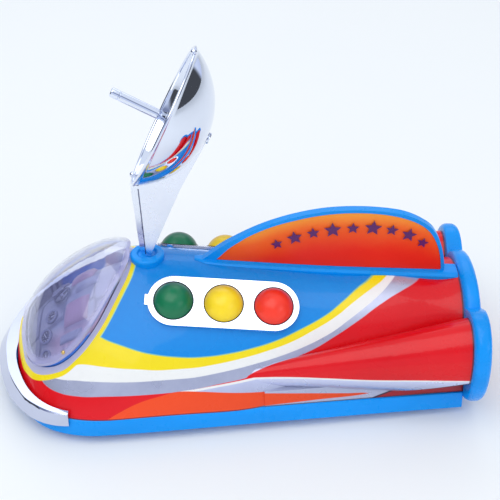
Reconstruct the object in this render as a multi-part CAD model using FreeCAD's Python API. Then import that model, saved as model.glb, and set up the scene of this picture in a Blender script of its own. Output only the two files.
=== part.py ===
"""Battery-powered tin space rocket with a turning radar dish and two lamp panels.

Frame: +X towards the nose, +Y towards the toy's left side, +Z up. Units are millimetres.
The origin is on the floor under the middle of the bounding box.
"""
import FreeCAD, Part
import math
import os

V = FreeCAD.Vector

# ---- driving dimensions -------------------------------------------------------------
LENGTH = 240.0
NOSE_X = LENGTH / 2
TAIL_X = -LENGTH / 2
TIN = 0.8                    # modelled wall of the pressed tin shell

BASE_BOTTOM = 5.0            # underside of the tray above the floor
BASE_TOP = 13.0              # seam between tray and shell
BASE_FLARE = 2.2             # the tray is wider at its foot than at the seam
BASE_WALL = 2.0
BASE_FLOOR = 1.6
BUMPER_GAP = 0.35            # between the bumper's back and the tray
BUMPER_LOW = 9.6
BUMPER_HIGH = 17.2
# half outline of the bumper in plan, at its foot and at its top edge
BUMPER_FOOT = ((75.5, 60.7), (85.0, 59.4), (94.2, 54.8), (101.4, 48.0), (105.0, 43.6), (109.8, 35.9),
               (113.6, 27.6), (117.2, 17.0), (119.3, 8.0), (NOSE_X, 0.0))
BUMPER_HEAD = ((75.5, 59.6), (85.0, 57.6), (93.0, 52.8), (98.4, 48.2), (101.8, 43.6), (105.0, 38.6),
               (109.2, 30.4), (112.8, 19.0), (115.0, 9.0), (115.8, 0.0))

# plan outline just outside the shell's nose at the seam
NOSE_PLAN = ((74.0, 59.0), (86.0, 54.4), (96.0, 45.0), (103.0, 33.0), (107.6, 19.4))
NOSE_PLAN_TIP = 109.8
NOSE_LEAN = 0.32             # the nose draws in by this much per unit of height

RING_W = 8.0                 # tail ring, along X
RING_T = 3.7                 # tail ring, outward from the shell
RING_X = TAIL_X + RING_W     # front face of the ring
RING_ROUND = 2.4             # rounding of its rear rim
NOZZLES = ((0.0, 34.0, 12.5), (35.6, 33.5, 8.0), (-35.6, 33.5, 8.0))   # y, z and radius of each cup
PLATE_X = TAIL_X + 4.0       # rear face of the plate that carries them

# half-width at the seam and height of the ridge at stations along X
STATIONS = (
    (RING_X, 43.0, 54.6),
    (-85.0, 45.5, 55.9),
    (-60.0, 48.0, 57.0),
    (-35.0, 50.5, 58.6),
    (-10.0, 53.0, 60.6),
    (14.0, 55.8, 62.8),
    (38.0, 58.0, 64.4),
    (50.0, 59.3, 63.8),
    (62.0, 60.0, 59.4),
    (74.0, 58.6, 52.6),
    (86.0, 54.0, 44.6),
    (96.0, 44.5, 36.8),
    (103.0, 32.0, 30.4),
    (107.5, 18.0, 25.6),
)
# vault profile: fraction of half-width, fraction of height
VAULT = ((0.0, 1.0), (0.2, 0.945), (0.4, 0.81), (0.57, 0.64), (0.75, 0.42), (0.9, 0.2), (1.0, 0.0))
# the same points where the vault ends as the middle lobe of the tail
TAIL_LOBE = ((0.0, 54.6), (9.0, 53.6), (17.0, 50.4), (23.2, 45.4), (27.0, 38.0), (28.4, 27.0),
             (28.6, 13.0))
LOBE_START_X = -10.0         # the side lobes grow from here to the tail
POD_START = (42.0, 23.5, 3.6, 5.0)   # y, z, half-width, half-height
POD_END = (37.0, 31.0, 15.0, 20.0)
SKIRT_START_X = -16.0        # the wall under the side lobes
SKIRT_IN = 0.6               # that wall stands this far inside the seam
UNDERCUT_X = -66.0           # the lobes' lower edge leaves the seam here and rises to the tail
UNDERCUT_Z = 26.4            # height of that edge at the tail

WINDOW_CENTRE_X = 77.0
WINDOW = ((48.5, 0.0), (49.2, 10.0), (54.0, 20.5), (61.7, 31.4), (71.6, 39.0), (81.0, 41.6),
          (90.5, 38.8), (98.5, 30.0), (103.2, 17.0), (104.8, 0.0))
BUBBLE_RISE = 9.5

LAMP_X = (26.7, 3.0, -20.7)
LAMP_Y = 23.3
LAMP_Z = 53.2                # height of the middle lamp
LAMP_PITCH_DEG = 4.76        # the panel follows the falling ridge
LAMP_TILT_DEG = 57.0         # panel normal above horizontal
LAMP_R = 9.2
DOME_H = 6.3
LENS_WALL = 1.1
FLANGE_R = LAMP_R + 0.9      # foot of each lens, trapped under the bezel
PANEL_L = 72.0
PANEL_W = 24.5
PANEL_T = 1.6

MAST_X = 40.4                # antenna axis
GROMMET_R = 8.4
GROMMET_H = 2.6
SHAFT_R = 1.5
FIT = 0.05                   # radial running clearance

DISH_R = 33.3
DISH_DEPTH = 21.2
DISH_TILT_DEG = 27.2
DISH_C = V(27.8, 0.0, 139.6)
ANTENNA_TURN_DEG = -3.9        # how far round the antenna stands at rest
SHEET = 0.8
ROD_R = 2.25
ROD_L = 44.5

MAST_LOW = 66.3
MAST_FRONT_TOP = 105.2
# height, front ridge x, rear edge x, half-width, length of the ridge's slope
MAST_SECTIONS = (
    (MAST_LOW, 43.6, 38.3, 2.5, 3.2),
    (106.0, 45.5, 21.3, 4.4, 4.6),
    (131.0, 45.8, 8.2, 4.4, 4.6),
)

FIN_T = 4.0
FIN_PANEL_T = 0.8
FIN_POCKET = 1.1
FIN_SILL = 1.1               # pocket's lower edge over the ridge
FIN_CENTRE = (-52.0, 72.0)   # the outline is drawn in towards this point
FIN_TOP = (
    (14.5, 62.8), (3.9, 71.0), (-3.9, 75.9), (-11.6, 80.1), (-19.2, 83.5), (-26.8, 86.2),
    (-34.4, 88.3), (-45.6, 90.4), (-57.0, 91.1), (-68.3, 90.7), (-75.9, 89.8), (-83.7, 88.0),
    (-91.7, 84.1), (-96.7, 80.2), (-99.9, 75.4), (-102.2, 70.0), (-103.8, 64.2), (-104.8, 58.6),
)
FIN_INSET = (
    (5.2, 64.9), (0.0, 70.2), (-3.9, 73.1), (-7.7, 75.8), (-15.4, 80.0), (-22.9, 83.1),
    (-30.5, 85.4), (-38.0, 87.3), (-45.4, 88.6), (-56.7, 89.5), (-68.0, 89.1), (-79.4, 87.2),
    (-87.3, 84.4), (-92.0, 81.7), (-95.6, 78.4), (-98.4, 74.2), (-100.6, 69.4), (-102.2, 63.8),
    (-103.2, 57.8),
)
# flange section: fraction of the half-width, height over the ridge
FLANGE_PROFILE = ((1.0, -4.5), (1.0, -0.6), (0.8, 0.4), (0.5, 0.8))
# station and half-width of the foot flange
FIN_FLANGE = ((17.5, 2.0), (12.0, 4.2), (2.0, 4.8), (-40.0, 4.6), (-80.0, 5.0), (RING_X + 0.4, 5.6))

WHEEL_R = 14.0
WHEEL_W = 7.0
WHEEL_Y = 41.0
TYRE_T = 3.0
DRIVE_X = 45.4
REAR_X = -82.0
REAR_R = 10.0
REAR_W = 6.0
REAR_Y = 31.0
AXLE_R = 1.5

MODULE = 0.6
DRIVE_TEETH = 26
SMALL_TEETH = 12
LARGE_TEETH = 28
BACKLASH = 0.22
GEAR_W = 3.0
PLATE_Y = 10.0
PLATE_T = 1.2
FRICTION_R = 9.6
FRICTION_Y = 15.0
FRICTION_GAP = 0.12
DISC_R = 18.5
DISC_T = 1.5

COUNTER_X = MAST_X
MESH_LOW = MODULE * (DRIVE_TEETH + SMALL_TEETH) / 2
MESH_HIGH = MODULE * (LARGE_TEETH + SMALL_TEETH) / 2
COUNTER_Z = WHEEL_R + math.sqrt(MESH_LOW ** 2 - (DRIVE_X - COUNTER_X) ** 2)
MOTOR_ANGLE = 200.0
MOTOR_X = COUNTER_X + MESH_HIGH * math.cos(math.radians(MOTOR_ANGLE))
MOTOR_Z = COUNTER_Z + MESH_HIGH * math.sin(math.radians(MOTOR_ANGLE))
MOTOR_R = 10.0
MOTOR_L = 22.0
MOTOR_SHAFT_R = 1.0
PILLARS = ((19.5, 11.0), (19.5, 29.5), (59.0, 23.0))   # x and z of the gearbox spacers
SCREWS = ((-100.0, 34.0), (-100.0, -34.0), (12.0, 46.0), (12.0, -46.0), (88.0, 30.0), (88.0, -30.0))

BOX_X0, BOX_X1 = -68.0, -10.0
BOX_HALF = 29.0
BOX_Z1 = 36.0
CELL_R = 13.0
CELL_L = 50.0
CELL_NUB = 1.6
CELL_Y = 13.8
CELL_Z = 20.6
DOOR_HALF = 25.4
DOOR_Z = 3.3
DOOR_T = 1.4
SWITCH_X, SWITCH_Y = 4.0, -34.0
EPS = 0.01


# ---- helpers ------------------------------------------------------------------------
def save(name, shape):
    """Write one sub-part; several solids go out as one compound."""
    shape.exportStep("parts/%s.step" % name)


def cyl_y(x, z, r, y0, y1):
    """Cylinder along Y between two stations."""
    return Part.makeCylinder(r, y1 - y0, V(x, y0, z), V(0, 1, 0))


def cyl_z(x, y, r, z0, z1):
    return Part.makeCylinder(r, z1 - z0, V(x, y, z0), V(0, 0, 1))


def box(x0, x1, y0, y1, z0, z1):
    return Part.makeBox(x1 - x0, y1 - y0, z1 - z0, V(x0, y0, z0))


def mirrored(shape):
    return shape.mirror(V(0, 0, 0), V(0, 1, 0))


def spline(points):
    """Edge of a smooth curve through points."""
    curve = Part.BSplineCurve()
    curve.interpolate(points)
    return curve.toShape()


def prism(points, direction):
    """Straight-sided solid on a closed outline of points."""
    return Part.Face(Part.makePolygon(list(points) + [points[0]])).extrude(direction)


def interpolate(table, x, column):
    """Value of a column of a table sorted by its first entry."""
    rows = sorted(table)
    for low, high in zip(rows, rows[1:]):
        if x <= high[0]:
            t = max(0.0, (x - low[0]) / (high[0] - low[0]))
            return low[column] + t * (high[column] - low[column])
    return rows[-1][column]


def half_width(x):
    return interpolate(STATIONS, x, 1)


def ridge(x):
    return interpolate(STATIONS, x, 2)


# ---- tin shell ----------------------------------------------------------------------
def vault_points(x, width, top):
    """Right-hand half of the vault section, from the ridge down to the seam."""
    grow = max(0.0, min(1.0, (LOBE_START_X - x) / (LOBE_START_X - RING_X)))
    points = []
    for (u, v), (ty, tz) in zip(VAULT, TAIL_LOBE):
        y = (1 - grow) * u * width + grow * ty
        z = (1 - grow) * (BASE_TOP + v * (top - BASE_TOP)) + grow * tz
        points.append((y, z))
    return points


def inset(points, wall):
    """Move a half section inwards by the wall, keeping its foot on the seam."""
    result = []
    for i, (y, z) in enumerate(points):
        before, after = points[max(i - 1, 0)], points[min(i + 1, len(points) - 1)]
        dy, dz = after[0] - before[0], after[1] - before[1]
        if i == 0:
            dy, dz = 1.0, 0.0
        length = math.hypot(dy, dz)
        result.append((y + wall * dz / length, z - wall * dy / length))
    result[-1] = (result[-1][0], BASE_TOP)
    return result


def vault_wire(x, half, drop):
    """Closed section: one spline over the ridge, straight sides below the seam."""
    over = [V(x, -y, z) for y, z in reversed(half[1:])] + [V(x, y, z) for y, z in half]
    foot_y = half[-1][0]
    low = BASE_TOP - drop
    side = Part.makePolygon([over[-1], V(x, foot_y, low), V(x, -foot_y, low), over[0]])
    return Part.Wire([spline(over)] + side.Edges)


def vault_solid(wall, drop, last):
    wires = []
    for x, width, top in STATIONS[:last]:
        wires.append(vault_wire(x, inset(vault_points(x, width, top), wall), drop))
    return Part.makeLoft(wires, True, False)


def pod_solid(shrink, start_x, end_x):
    """One side lobe, growing from the flank to the tail."""
    wires = []
    steps = 4
    for i in range(steps + 1):
        t = i / steps
        x = start_x + (end_x - start_x) * t
        y, z, ry, rz = [a + (b - a) * t for a, b in zip(POD_START, POD_END)]
        ry, rz = ry - shrink, rz - shrink
        if rz >= ry:
            ellipse = Part.Ellipse(V(x, y, z + rz), V(x, y + ry, z), V(x, y, z))
        else:
            ellipse = Part.Ellipse(V(x, y + ry, z), V(x, y, z + rz), V(x, y, z))
        wires.append(Part.Wire([ellipse.toShape()]))
    return Part.makeLoft(wires, True, False)


def skirt_solid(shrink, x0, x1):
    """Low wall that carries the lobed tail down to the straight seam."""
    wires = []
    for x in (x0, (x0 + x1) / 2, x1):
        foot = half_width(x) - SKIRT_IN - shrink
        top = foot - 2.6
        wires.append(Part.makePolygon([V(x, -foot, BASE_TOP), V(x, foot, BASE_TOP),
                                       V(x, top, 20.0 - shrink), V(x, -top, 20.0 - shrink),
                                       V(x, -foot, BASE_TOP)]))
    return Part.makeLoft(wires, True, True)


def undercut(shrink):
    """Space under one lobe: outside the skirt wall and below the lobe's rising lower edge."""
    tail = RING_X - 1
    rise = (UNDERCUT_Z - BASE_TOP) / (UNDERCUT_X - RING_X)
    end_z = BASE_TOP + rise * (UNDERCUT_X - tail) + shrink
    profile = [V(UNDERCUT_X, 0, BASE_TOP + shrink), V(UNDERCUT_X, 0, 0), V(tail, 0, 0), V(tail, 0, end_z)]
    side = prism(profile, V(0, 90, 0))
    plan = [V(x, half_width(x) - SKIRT_IN - shrink, 0) for x in (UNDERCUT_X, tail)]
    outside = prism(plan + [V(tail, 90, 0), V(UNDERCUT_X, 90, 0)], V(0, 0, 60))
    return side.common(outside)


def hull(shrink, drop, stations=len(STATIONS)):
    """Vault, side lobes and skirt as one solid."""
    solid = vault_solid(shrink, drop, stations)
    pod = pod_solid(shrink, LOBE_START_X, RING_X).cut(undercut(shrink))
    solid = solid.fuse([pod, mirrored(pod)])
    return solid.fuse(skirt_solid(shrink, RING_X, SKIRT_START_X))


def window_wire(z, grow):
    """Plan outline of the window, grown outwards by a margin."""
    centre = V(WINDOW_CENTRE_X, 0, 0)
    near = []
    for x, y in WINDOW:
        offset = V(x, y, 0) - centre
        offset.multiply(1 + grow / offset.Length)
        near.append(centre + offset + V(0, 0, z))
    loop = near + [V(p.x, -p.y, p.z) for p in reversed(near[1:-1])]
    curve = Part.BSplineCurve()
    curve.interpolate(Points=loop, PeriodicFlag=True)
    return Part.Wire([curve.toShape()])


def window_prism(grow, z0, z1):
    return Part.Face(window_wire(z0, grow)).extrude(V(0, 0, z1 - z0))


def body_shell():
    cut_below = box(-200, 200, -100, 100, -20, BASE_TOP)
    outer = hull(0.0, 2.0).cut(cut_below)
    inner = hull(TIN, 6.0, len(STATIONS) - 1)
    shell = outer.cut(inner)
    shell = shell.cut(window_prism(-2.0, BASE_TOP + 1.0, 90))
    shell = shell.cut(cyl_z(MAST_X, 0, 3.0, 40, 90))
    for side in (1, -1):
        slot = lamp_capsule(PANEL_L - 3.5, PANEL_W - 3.5, -16.0, 2.0)
        shell = shell.cut(slot if side > 0 else mirrored(slot))
    return keep_largest(shell)


def keep_largest(shape):
    return max(shape.Solids, key=lambda s: s.Volume)


# ---- tray, ring, bumper -------------------------------------------------------------
def tray_outline(z, grow, tail=RING_X):
    """Closed plan outline of the tray."""
    near = [V(x, half_width(x) + grow, z) for x in (tail, -60, -10, 38, 62)]
    nose = [V(x, y, z) for x, y in ((62, 60.0 + grow), (76, 58.6 + grow), (88, 53.4 + grow * 1.2),
                                    (98.5, 43.0 + grow * 1.4), (107.2, 24.0 + grow))]
    tip = V(109.6 + grow, 0, z)
    far = [V(p.x, -p.y, z) for p in nose]
    edges = [spline(near)]
    edges.append(spline(nose + [tip] + far[::-1]))
    edges.append(spline([V(p.x, -p.y, z) for p in near][::-1]))
    edges.append(Part.LineSegment(V(tail, -near[0].y, z), near[0]).toShape())
    return Part.Wire(edges)


def tray_solid(z0, z1, grow0, grow1, tail=RING_X):
    return Part.makeLoft([tray_outline(z0, grow0, tail), tray_outline(z1, grow1, tail)], True, True)


def base_tray():
    outer = tray_solid(BASE_BOTTOM, BASE_TOP, BASE_FLARE, 0.3)
    wall_low = BASE_FLARE - BASE_WALL
    inner = tray_solid(BASE_BOTTOM + BASE_FLOOR, BASE_TOP + EPS, wall_low, 0.3 - BASE_WALL,
                       RING_X + BASE_WALL)
    tray = outer.cut(inner)
    cuts = [box(BOX_X0 + 4, BOX_X1 - 4, -BOX_HALF + 4, BOX_HALF - 4, 0, 9)]
    for side in (1, -1):
        y = side * WHEEL_Y
        cuts.append(box(DRIVE_X - 16, DRIVE_X + 16, y - 5.5, y + 5.5, 0, 9))
        y = side * REAR_Y
        cuts.append(box(REAR_X - 12, REAR_X + 12, y - 5, y + 5, 0, 9))
    cuts.append(box(SWITCH_X - 5, SWITCH_X + 5, SWITCH_Y - 2.4, SWITCH_Y + 2.4, 0, 9))
    cuts.append(box(DRIVE_X - 11, DRIVE_X + 11, -6, 8, 0, 9))
    for x, y in SCREWS:
        cuts.append(cyl_z(x, y, 1.6, 0, 9))
    tray = tray.cut(Part.makeCompound(cuts))
    guides = door_guides()
    return keep_largest(tray.fuse(guides).removeSplitter())


def door_guides():
    """Two L-shaped rails under the tray that hold the battery door by its edges."""
    rails = []
    for side in (1, -1):
        for inner, outer, low in ((DOOR_HALF + 0.3, DOOR_HALF + 1.8, DOOR_Z - 1.3),
                                  (DOOR_HALF - 1.2, DOOR_HALF + 1.8, DOOR_Z - 1.3)):
            high = BASE_BOTTOM + EPS if inner > DOOR_HALF else DOOR_Z - 0.3
            y0, y1 = sorted((side * inner, side * outer))
            rails.append(box(BOX_X0 + 4, BOX_X1 - 4, y0, y1, low, high))
    stop = box(BOX_X1 - 1.7, BOX_X1 - 0.2, -12, 12, DOOR_Z, BASE_BOTTOM + EPS)
    return rails + [stop]


def lobed_solid(x0, x1, grow):
    """Three lobes with upright walls, between two stations along X."""
    length = x1 - x0
    half = inset(list(TAIL_LOBE), -grow)
    over = [V(x0, -y, z) for y, z in reversed(half[1:])] + [V(x0, y, z) for y, z in half]
    middle = Part.Wire([spline(over), Part.LineSegment(over[-1], over[0]).toShape()])
    solid = Part.Face(middle).extrude(V(length, 0, 0))
    y, z, ry, rz = POD_END
    for side in (1, -1):
        top = V(x0, side * y, z + rz + grow)
        outer = V(x0, side * (y + ry + grow), z)
        ellipse = Part.Ellipse(top, outer, V(x0, side * y, z))
        solid = solid.fuse(Part.Face(Part.Wire([ellipse.toShape()])).extrude(V(length, 0, 0)))
    return solid.removeSplitter()


def lobed_opening(x0, x1, shrink):
    """The shell's rear opening: three lobes, less the space under the side lobes."""
    opening = lobed_solid(x0, x1, -shrink)
    wall_y = half_width(RING_X) - SKIRT_IN - shrink
    for side in (1, -1):
        y0, y1 = sorted((side * wall_y, side * 90))
        opening = opening.cut(box(x0 - 1, x1 + 1, y0, y1, 0, UNDERCUT_Z + shrink))
    return opening


def rounded_rear(solid):
    """Round the rear rim of the ring's outer form."""
    def on_rear(edge):
        ends = [v.X - TAIL_X for v in (edge.Vertexes[0], edge.Vertexes[-1])]
        return max(abs(ends[0]), abs(ends[1])) < EPS and edge.Length > 12
    return solid.makeFillet(RING_ROUND, [e for e in solid.Edges if on_rear(e)])


def tail_ring():
    """Scalloped ring over the tail; its inner lip hides the shell's edge."""
    outer = rounded_rear(lobed_solid(TAIL_X, RING_X, RING_T))
    return outer.cut(lobed_opening(TAIL_X - 1, RING_X + 1, TIN))


def tail_plate():
    """Pressed plate with three nozzle cups, set inside the ring."""
    plate = lobed_opening(PLATE_X, PLATE_X + 1.2, TIN + FIT)
    for y, z, r in NOZZLES:
        mouth = V(PLATE_X, y, z)
        ahead = V(1, 0, 0)
        cup = Part.makeCone(r, r - 3.5, 8.5, mouth, ahead)
        hollow = Part.makeCone(r - 1.0, r - 4.2, 7.5, mouth, ahead)
        plate = plate.fuse(cup).cut(hollow)
    return plate.removeSplitter()


def bumper_outline(half, z, shrink=0.0):
    """Closed plan outline of the bumper's outer face at a height."""
    near = [V(x - shrink * 0.6, y - shrink, z) for x, y in half[:-1]]
    near[0].x = half[0][0]
    tip = V(half[-1][0] - shrink, 0, z)
    edge = spline(near + [tip] + [V(p.x, -p.y, z) for p in reversed(near)])
    back = Part.LineSegment(V(near[0].x, -near[0].y, z), near[0]).toShape()
    return Part.Wire([edge, back])


def nose_bumper():
    """Band round the nose: its face leans back and ends in a flat shelf against the shell."""
    levels = ((BUMPER_LOW, BUMPER_FOOT, 0.9), (BUMPER_LOW + 0.9, BUMPER_FOOT, 0.0),
              (BUMPER_HIGH - 0.6, BUMPER_HEAD, 0.0), (BUMPER_HIGH, BUMPER_HEAD, 0.6))
    outlines = [bumper_outline(half, z, shrink) for z, half, shrink in levels]
    solids = [Part.makeLoft(list(pair), True, True) for pair in zip(outlines, outlines[1:])]
    solid = solids[0].fuse(solids[1:]).removeSplitter()
    solid = solid.cut(tray_solid(0, BASE_TOP, BASE_FLARE * 1.6, BUMPER_GAP))
    hugging = Part.makeLoft([body_outline(BASE_TOP - 2), body_outline(30)], True, True)
    return keep_largest(solid.cut(hugging))


def body_outline(z):
    """Plan outline just outside the shell at the seam, carried up the nose."""
    lean = (z - BASE_TOP) * NOSE_LEAN
    near = [V(x, y - lean, z) for x, y in NOSE_PLAN]
    tip = V(NOSE_PLAN_TIP - lean, 0, z)
    edge = spline(near + [tip] + [V(p.x, -p.y, z) for p in reversed(near)])
    start = near[0]
    back = Part.makePolygon([V(start.x, -start.y, z), V(60, -start.y, z), V(60, start.y, z), start])
    return Part.Wire([edge] + back.Edges)


# ---- cockpit ------------------------------------------------------------------------
def nose_hull(grow):
    """The shell's nose as a solid, grown by a margin (negative shrinks it)."""
    wires = []
    for x, width, top in STATIONS[6:]:
        wires.append(vault_wire(x, inset(vault_points(x, width, top), -grow), 2.0))
    return Part.makeLoft(wires, True, False)


def bubble_hull(rise, grow):
    """Swollen nose form that gives the windscreen its crown."""
    wires = []
    for x, width, top in STATIONS[6:]:
        t = (x - WINDOW[0][0]) / (WINDOW[-1][0] - WINDOW[0][0])
        crown = rise * math.sqrt(max(0.0, 4 * t * (1 - t))) if 0 < t < 1 else 0.0
        half = inset(vault_points(x, width, top + crown), -grow)
        wires.append(vault_wire(x, half, 2.0))
    return Part.makeLoft(wires, True, False)


def windscreen():
    """Clear blown bubble with a flat rim lying on the shell."""
    rim = nose_hull(1.0).cut(nose_hull(0.15)).common(window_prism(2.2, BASE_TOP + 3, 90))
    rim = rim.cut(window_prism(-1.4, BASE_TOP, 90))
    dome = bubble_hull(BUBBLE_RISE, 1.4).cut(bubble_hull(BUBBLE_RISE, 0.3))
    dome = dome.common(window_prism(-0.2, BASE_TOP + 3, 90))
    dome = dome.cut(nose_hull(0.15))
    screen = rim.fuse(dome).removeSplitter()
    return keep_largest(screen)


def cockpit_panel():
    """Printed floor pan under the bubble, hung inside the window opening."""
    pan = nose_hull(-7.0).cut(nose_hull(-7.8)).common(window_prism(-4.0, BASE_TOP + 1, 90))
    wall = nose_hull(-TIN - 0.05).cut(nose_hull(-8.2)).common(window_prism(-3.2, BASE_TOP + 1, 90))
    wall = wall.cut(window_prism(-4.2, BASE_TOP, 90))
    return keep_largest(pan.fuse(wall).removeSplitter())


# ---- fin ----------------------------------------------------------------------------
def fin_face(y, outline, margin, foot):
    """Side face of the fin at a station y, its arched outline drawn in by a margin."""
    top = []
    for x, z in outline:
        dx, dz = x - FIN_CENTRE[0], z - FIN_CENTRE[1]
        shrink = 1 - margin / math.hypot(dx, dz)
        x, z = FIN_CENTRE[0] + dx * shrink, FIN_CENTRE[1] + dz * shrink
        if z > foot(x) + 1.0:
            top.append(V(x, y, z))
    slope = (top[1].z - top[0].z) / (top[0].x - top[1].x)
    front_x = top[0].x + (top[0].z - foot(top[0].x)) / slope
    ends = [V(top[-1].x, y, foot(top[-1].x)), V(front_x, y, foot(front_x))]
    base = [V(x, y, foot(x)) for x in (-80.0, -55.0, -30.0, -5.0)]
    edges = [spline([ends[1]] + top), Part.LineSegment(top[-1], ends[0]).toShape(),
             spline([ends[0]] + base + [ends[1]])]
    return Part.Face(Part.Wire(edges))


def fin_frame():
    """Moulded fin: rim, web and the foot flange that follows the ridge."""
    def foot(x):
        return min(ridge(x) - 1.5, 61.5)

    def pocket_foot(x):
        return ridge(x) + FIN_SILL
    body = fin_face(-FIN_T / 2, FIN_TOP, 0.0, foot).extrude(V(0, FIN_T, 0))
    for y0, y1 in ((FIN_T / 2 - FIN_POCKET, FIN_T), (-FIN_T, -FIN_T / 2 + FIN_POCKET)):
        body = body.cut(fin_face(y0, FIN_INSET, 0.0, pocket_foot).extrude(V(0, y1 - y0, 0)))
    flange = []
    for x, half in FIN_FLANGE:
        right = [V(x, half * part, ridge(x) + rise) for part, rise in FLANGE_PROFILE]
        left = [V(p.x, -p.y, p.z) for p in reversed(right)]
        flange.append(Part.makePolygon(right + left + right[:1]))
    frame = body.fuse(Part.makeLoft(flange, True, True))
    frame = frame.cut(hull(-0.05, 2.0))
    return keep_largest(frame.removeSplitter())


def fin_panel(side):
    """Printed tin plate let into one side of the fin."""
    def foot(x):
        return ridge(x) + FIN_SILL + 0.15
    y0 = FIN_T / 2 - FIN_POCKET
    plate = fin_face(y0, FIN_INSET, 0.15, foot).extrude(V(0, FIN_PANEL_T, 0))
    return plate if side > 0 else mirrored(plate)


# ---- lamp panels --------------------------------------------------------------------
def lamp_placement():
    """Placement of the left panel: local X along it, local Z out of it, at the middle lamp."""
    tilt = 90.0 - LAMP_TILT_DEG
    spin = FreeCAD.Rotation(V(1, 0, 0), -tilt)
    pitch = FreeCAD.Rotation(V(0, 1, 0), -LAMP_PITCH_DEG)
    return FreeCAD.Placement(V(LAMP_X[1], LAMP_Y, LAMP_Z), pitch.multiply(spin))


def lamp_capsule(length, width, z0, z1):
    """Stadium-shaped block in the left panel's frame."""
    r = width / 2
    half = length / 2 - r
    edges = [Part.LineSegment(V(-half, -r, z0), V(half, -r, z0)).toShape(),
             Part.Arc(V(half, -r, z0), V(half + r, 0, z0), V(half, r, z0)).toShape(),
             Part.LineSegment(V(half, r, z0), V(-half, r, z0)).toShape(),
             Part.Arc(V(-half, r, z0), V(-half - r, 0, z0), V(-half, -r, z0)).toShape()]
    block = Part.Face(Part.Wire(edges)).extrude(V(0, 0, z1 - z0))
    block.Placement = lamp_placement()
    return block


def lamp_centres():
    step = (LAMP_X[0] - LAMP_X[2]) / 2 / math.cos(math.radians(LAMP_PITCH_DEG))
    return (step, 0.0, -step)


def placed(shape):
    """Carry a shape from the left panel's frame to the toy's."""
    moved = shape.copy()
    moved.Placement = lamp_placement().multiply(moved.Placement)
    return moved


def lamp_bezel(side):
    """Chromed cover: flat face with three holes and a skirt down to the shell."""
    outer = lamp_capsule(PANEL_L, PANEL_W, -9.0, 0.0)
    hollow = lamp_capsule(PANEL_L - 2.4, PANEL_W - 2.4, -12.0, -PANEL_T)
    lug = placed(box(PANEL_L / 2 - 0.4, PANEL_L / 2 + 1.4, -2.6, 2.6, -2.2, -0.6))
    cover = outer.cut(hollow).fuse(lug).cut(hull(-0.12, 2.0))
    for x in lamp_centres():
        cover = cover.cut(placed(Part.makeCylinder(LAMP_R + 0.25, 6, V(x, 0, -3), V(0, 0, 1))))
    cover = keep_largest(cover.removeSplitter())
    return cover if side > 0 else mirrored(cover)


def lamp(index, side):
    """Domed lens with a flange trapped under the bezel."""
    sphere_r = (LAMP_R ** 2 + DOME_H ** 2) / (2 * DOME_H)
    centre = DOME_H - sphere_r
    ball = Part.makeSphere(sphere_r, V(0, 0, centre), V(0, 0, 1))
    inner = Part.makeSphere(sphere_r - LENS_WALL, V(0, 0, centre), V(0, 0, 1))
    cap = ball.cut(inner).common(Part.makeCylinder(LAMP_R, 20, V(0, 0, 0), V(0, 0, 1)))
    tube = Part.makeCylinder(LAMP_R, PANEL_T + 0.1, V(0, 0, -PANEL_T - 0.1), V(0, 0, 1))
    tube = tube.cut(Part.makeCylinder(LAMP_R - LENS_WALL, 6, V(0, 0, -4), V(0, 0, 1)))
    flange = Part.makeCylinder(FLANGE_R, 0.8, V(0, 0, -PANEL_T - 0.9), V(0, 0, 1))
    flange = flange.cut(Part.makeCylinder(LAMP_R - LENS_WALL, 6, V(0, 0, -4), V(0, 0, 1)))
    lens = cap.fuse([tube, flange]).removeSplitter()
    lens.translate(V(lamp_centres()[index], 0, 0))
    lens = keep_largest(placed(lens))
    return lens if side > 0 else mirrored(lens)


def bulb_board(side):
    """Strip of board under the lamps; it stands on the slot's edge inside the shell."""
    board = placed(box(-31.0, 31.0, -5.0, 5.0, -10.6, -9.4))
    for x in lamp_centres():
        board = board.cut(placed(Part.makeCylinder(1.8, 6, V(x, 0, -13), V(0, 0, 1))))
    return board if side > 0 else mirrored(board)


def bulbs(side):
    """Three bulbs with metal collars, pushed through the board."""
    group = []
    for x in lamp_centres():
        stem = Part.makeCylinder(1.75, 6.0, V(x, 0, -12.0), V(0, 0, 1))
        glass = Part.makeCylinder(2.4, 2.6, V(x, 0, -9.3), V(0, 0, 1))
        tip = Part.makeSphere(2.4, V(x, 0, -6.7))
        group.append(keep_largest(placed(stem.fuse([glass, tip]).removeSplitter())))
    lot = Part.makeCompound(group)
    return lot if side > 0 else mirrored(lot)


# ---- antenna ------------------------------------------------------------------------
def antenna_grommet():
    """Turned plastic collar on the ridge; the shaft runs in its bore."""
    top = ridge(MAST_X) + GROMMET_H
    low = ridge(MAST_X) - 5.0
    flange = cyl_z(MAST_X, 0, GROMMET_R, ridge(MAST_X) - 2.2, top - 1.0)
    crown = Part.makeCone(GROMMET_R, GROMMET_R - 2.2, 1.0, V(MAST_X, 0, top - 1.0), V(0, 0, 1))
    stem = cyl_z(MAST_X, 0, 2.9, low, top)
    collar = flange.fuse(crown).cut(hull(-0.03, 2.0)).fuse(stem)
    recess = cyl_z(MAST_X, 0, 4.0, top - 0.9, top + 1)
    bore = cyl_z(MAST_X, 0, SHAFT_R + FIT, low - 1, top + 1)
    return keep_largest(collar.cut(recess).cut(bore).removeSplitter())


def dish_ball(grow):
    """Sphere whose cap is the dish; the normal leans back by the tilt."""
    radius = (DISH_R ** 2 + DISH_DEPTH ** 2) / (2 * DISH_DEPTH)
    normal = dish_normal()
    centre = DISH_C + normal * (radius - DISH_DEPTH)
    return Part.makeSphere(radius + grow, centre, V(0, 0, 1))


def dish_normal():
    tilt = math.radians(DISH_TILT_DEG)
    return V(math.cos(tilt), 0, math.sin(tilt))


def turned(shape):
    """Antenna piece as it stands at rest, swung about its shaft."""
    moved = shape.copy()
    moved.rotate(V(MAST_X, 0, 0), V(0, 0, 1), ANTENNA_TURN_DEG)
    return moved


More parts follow.
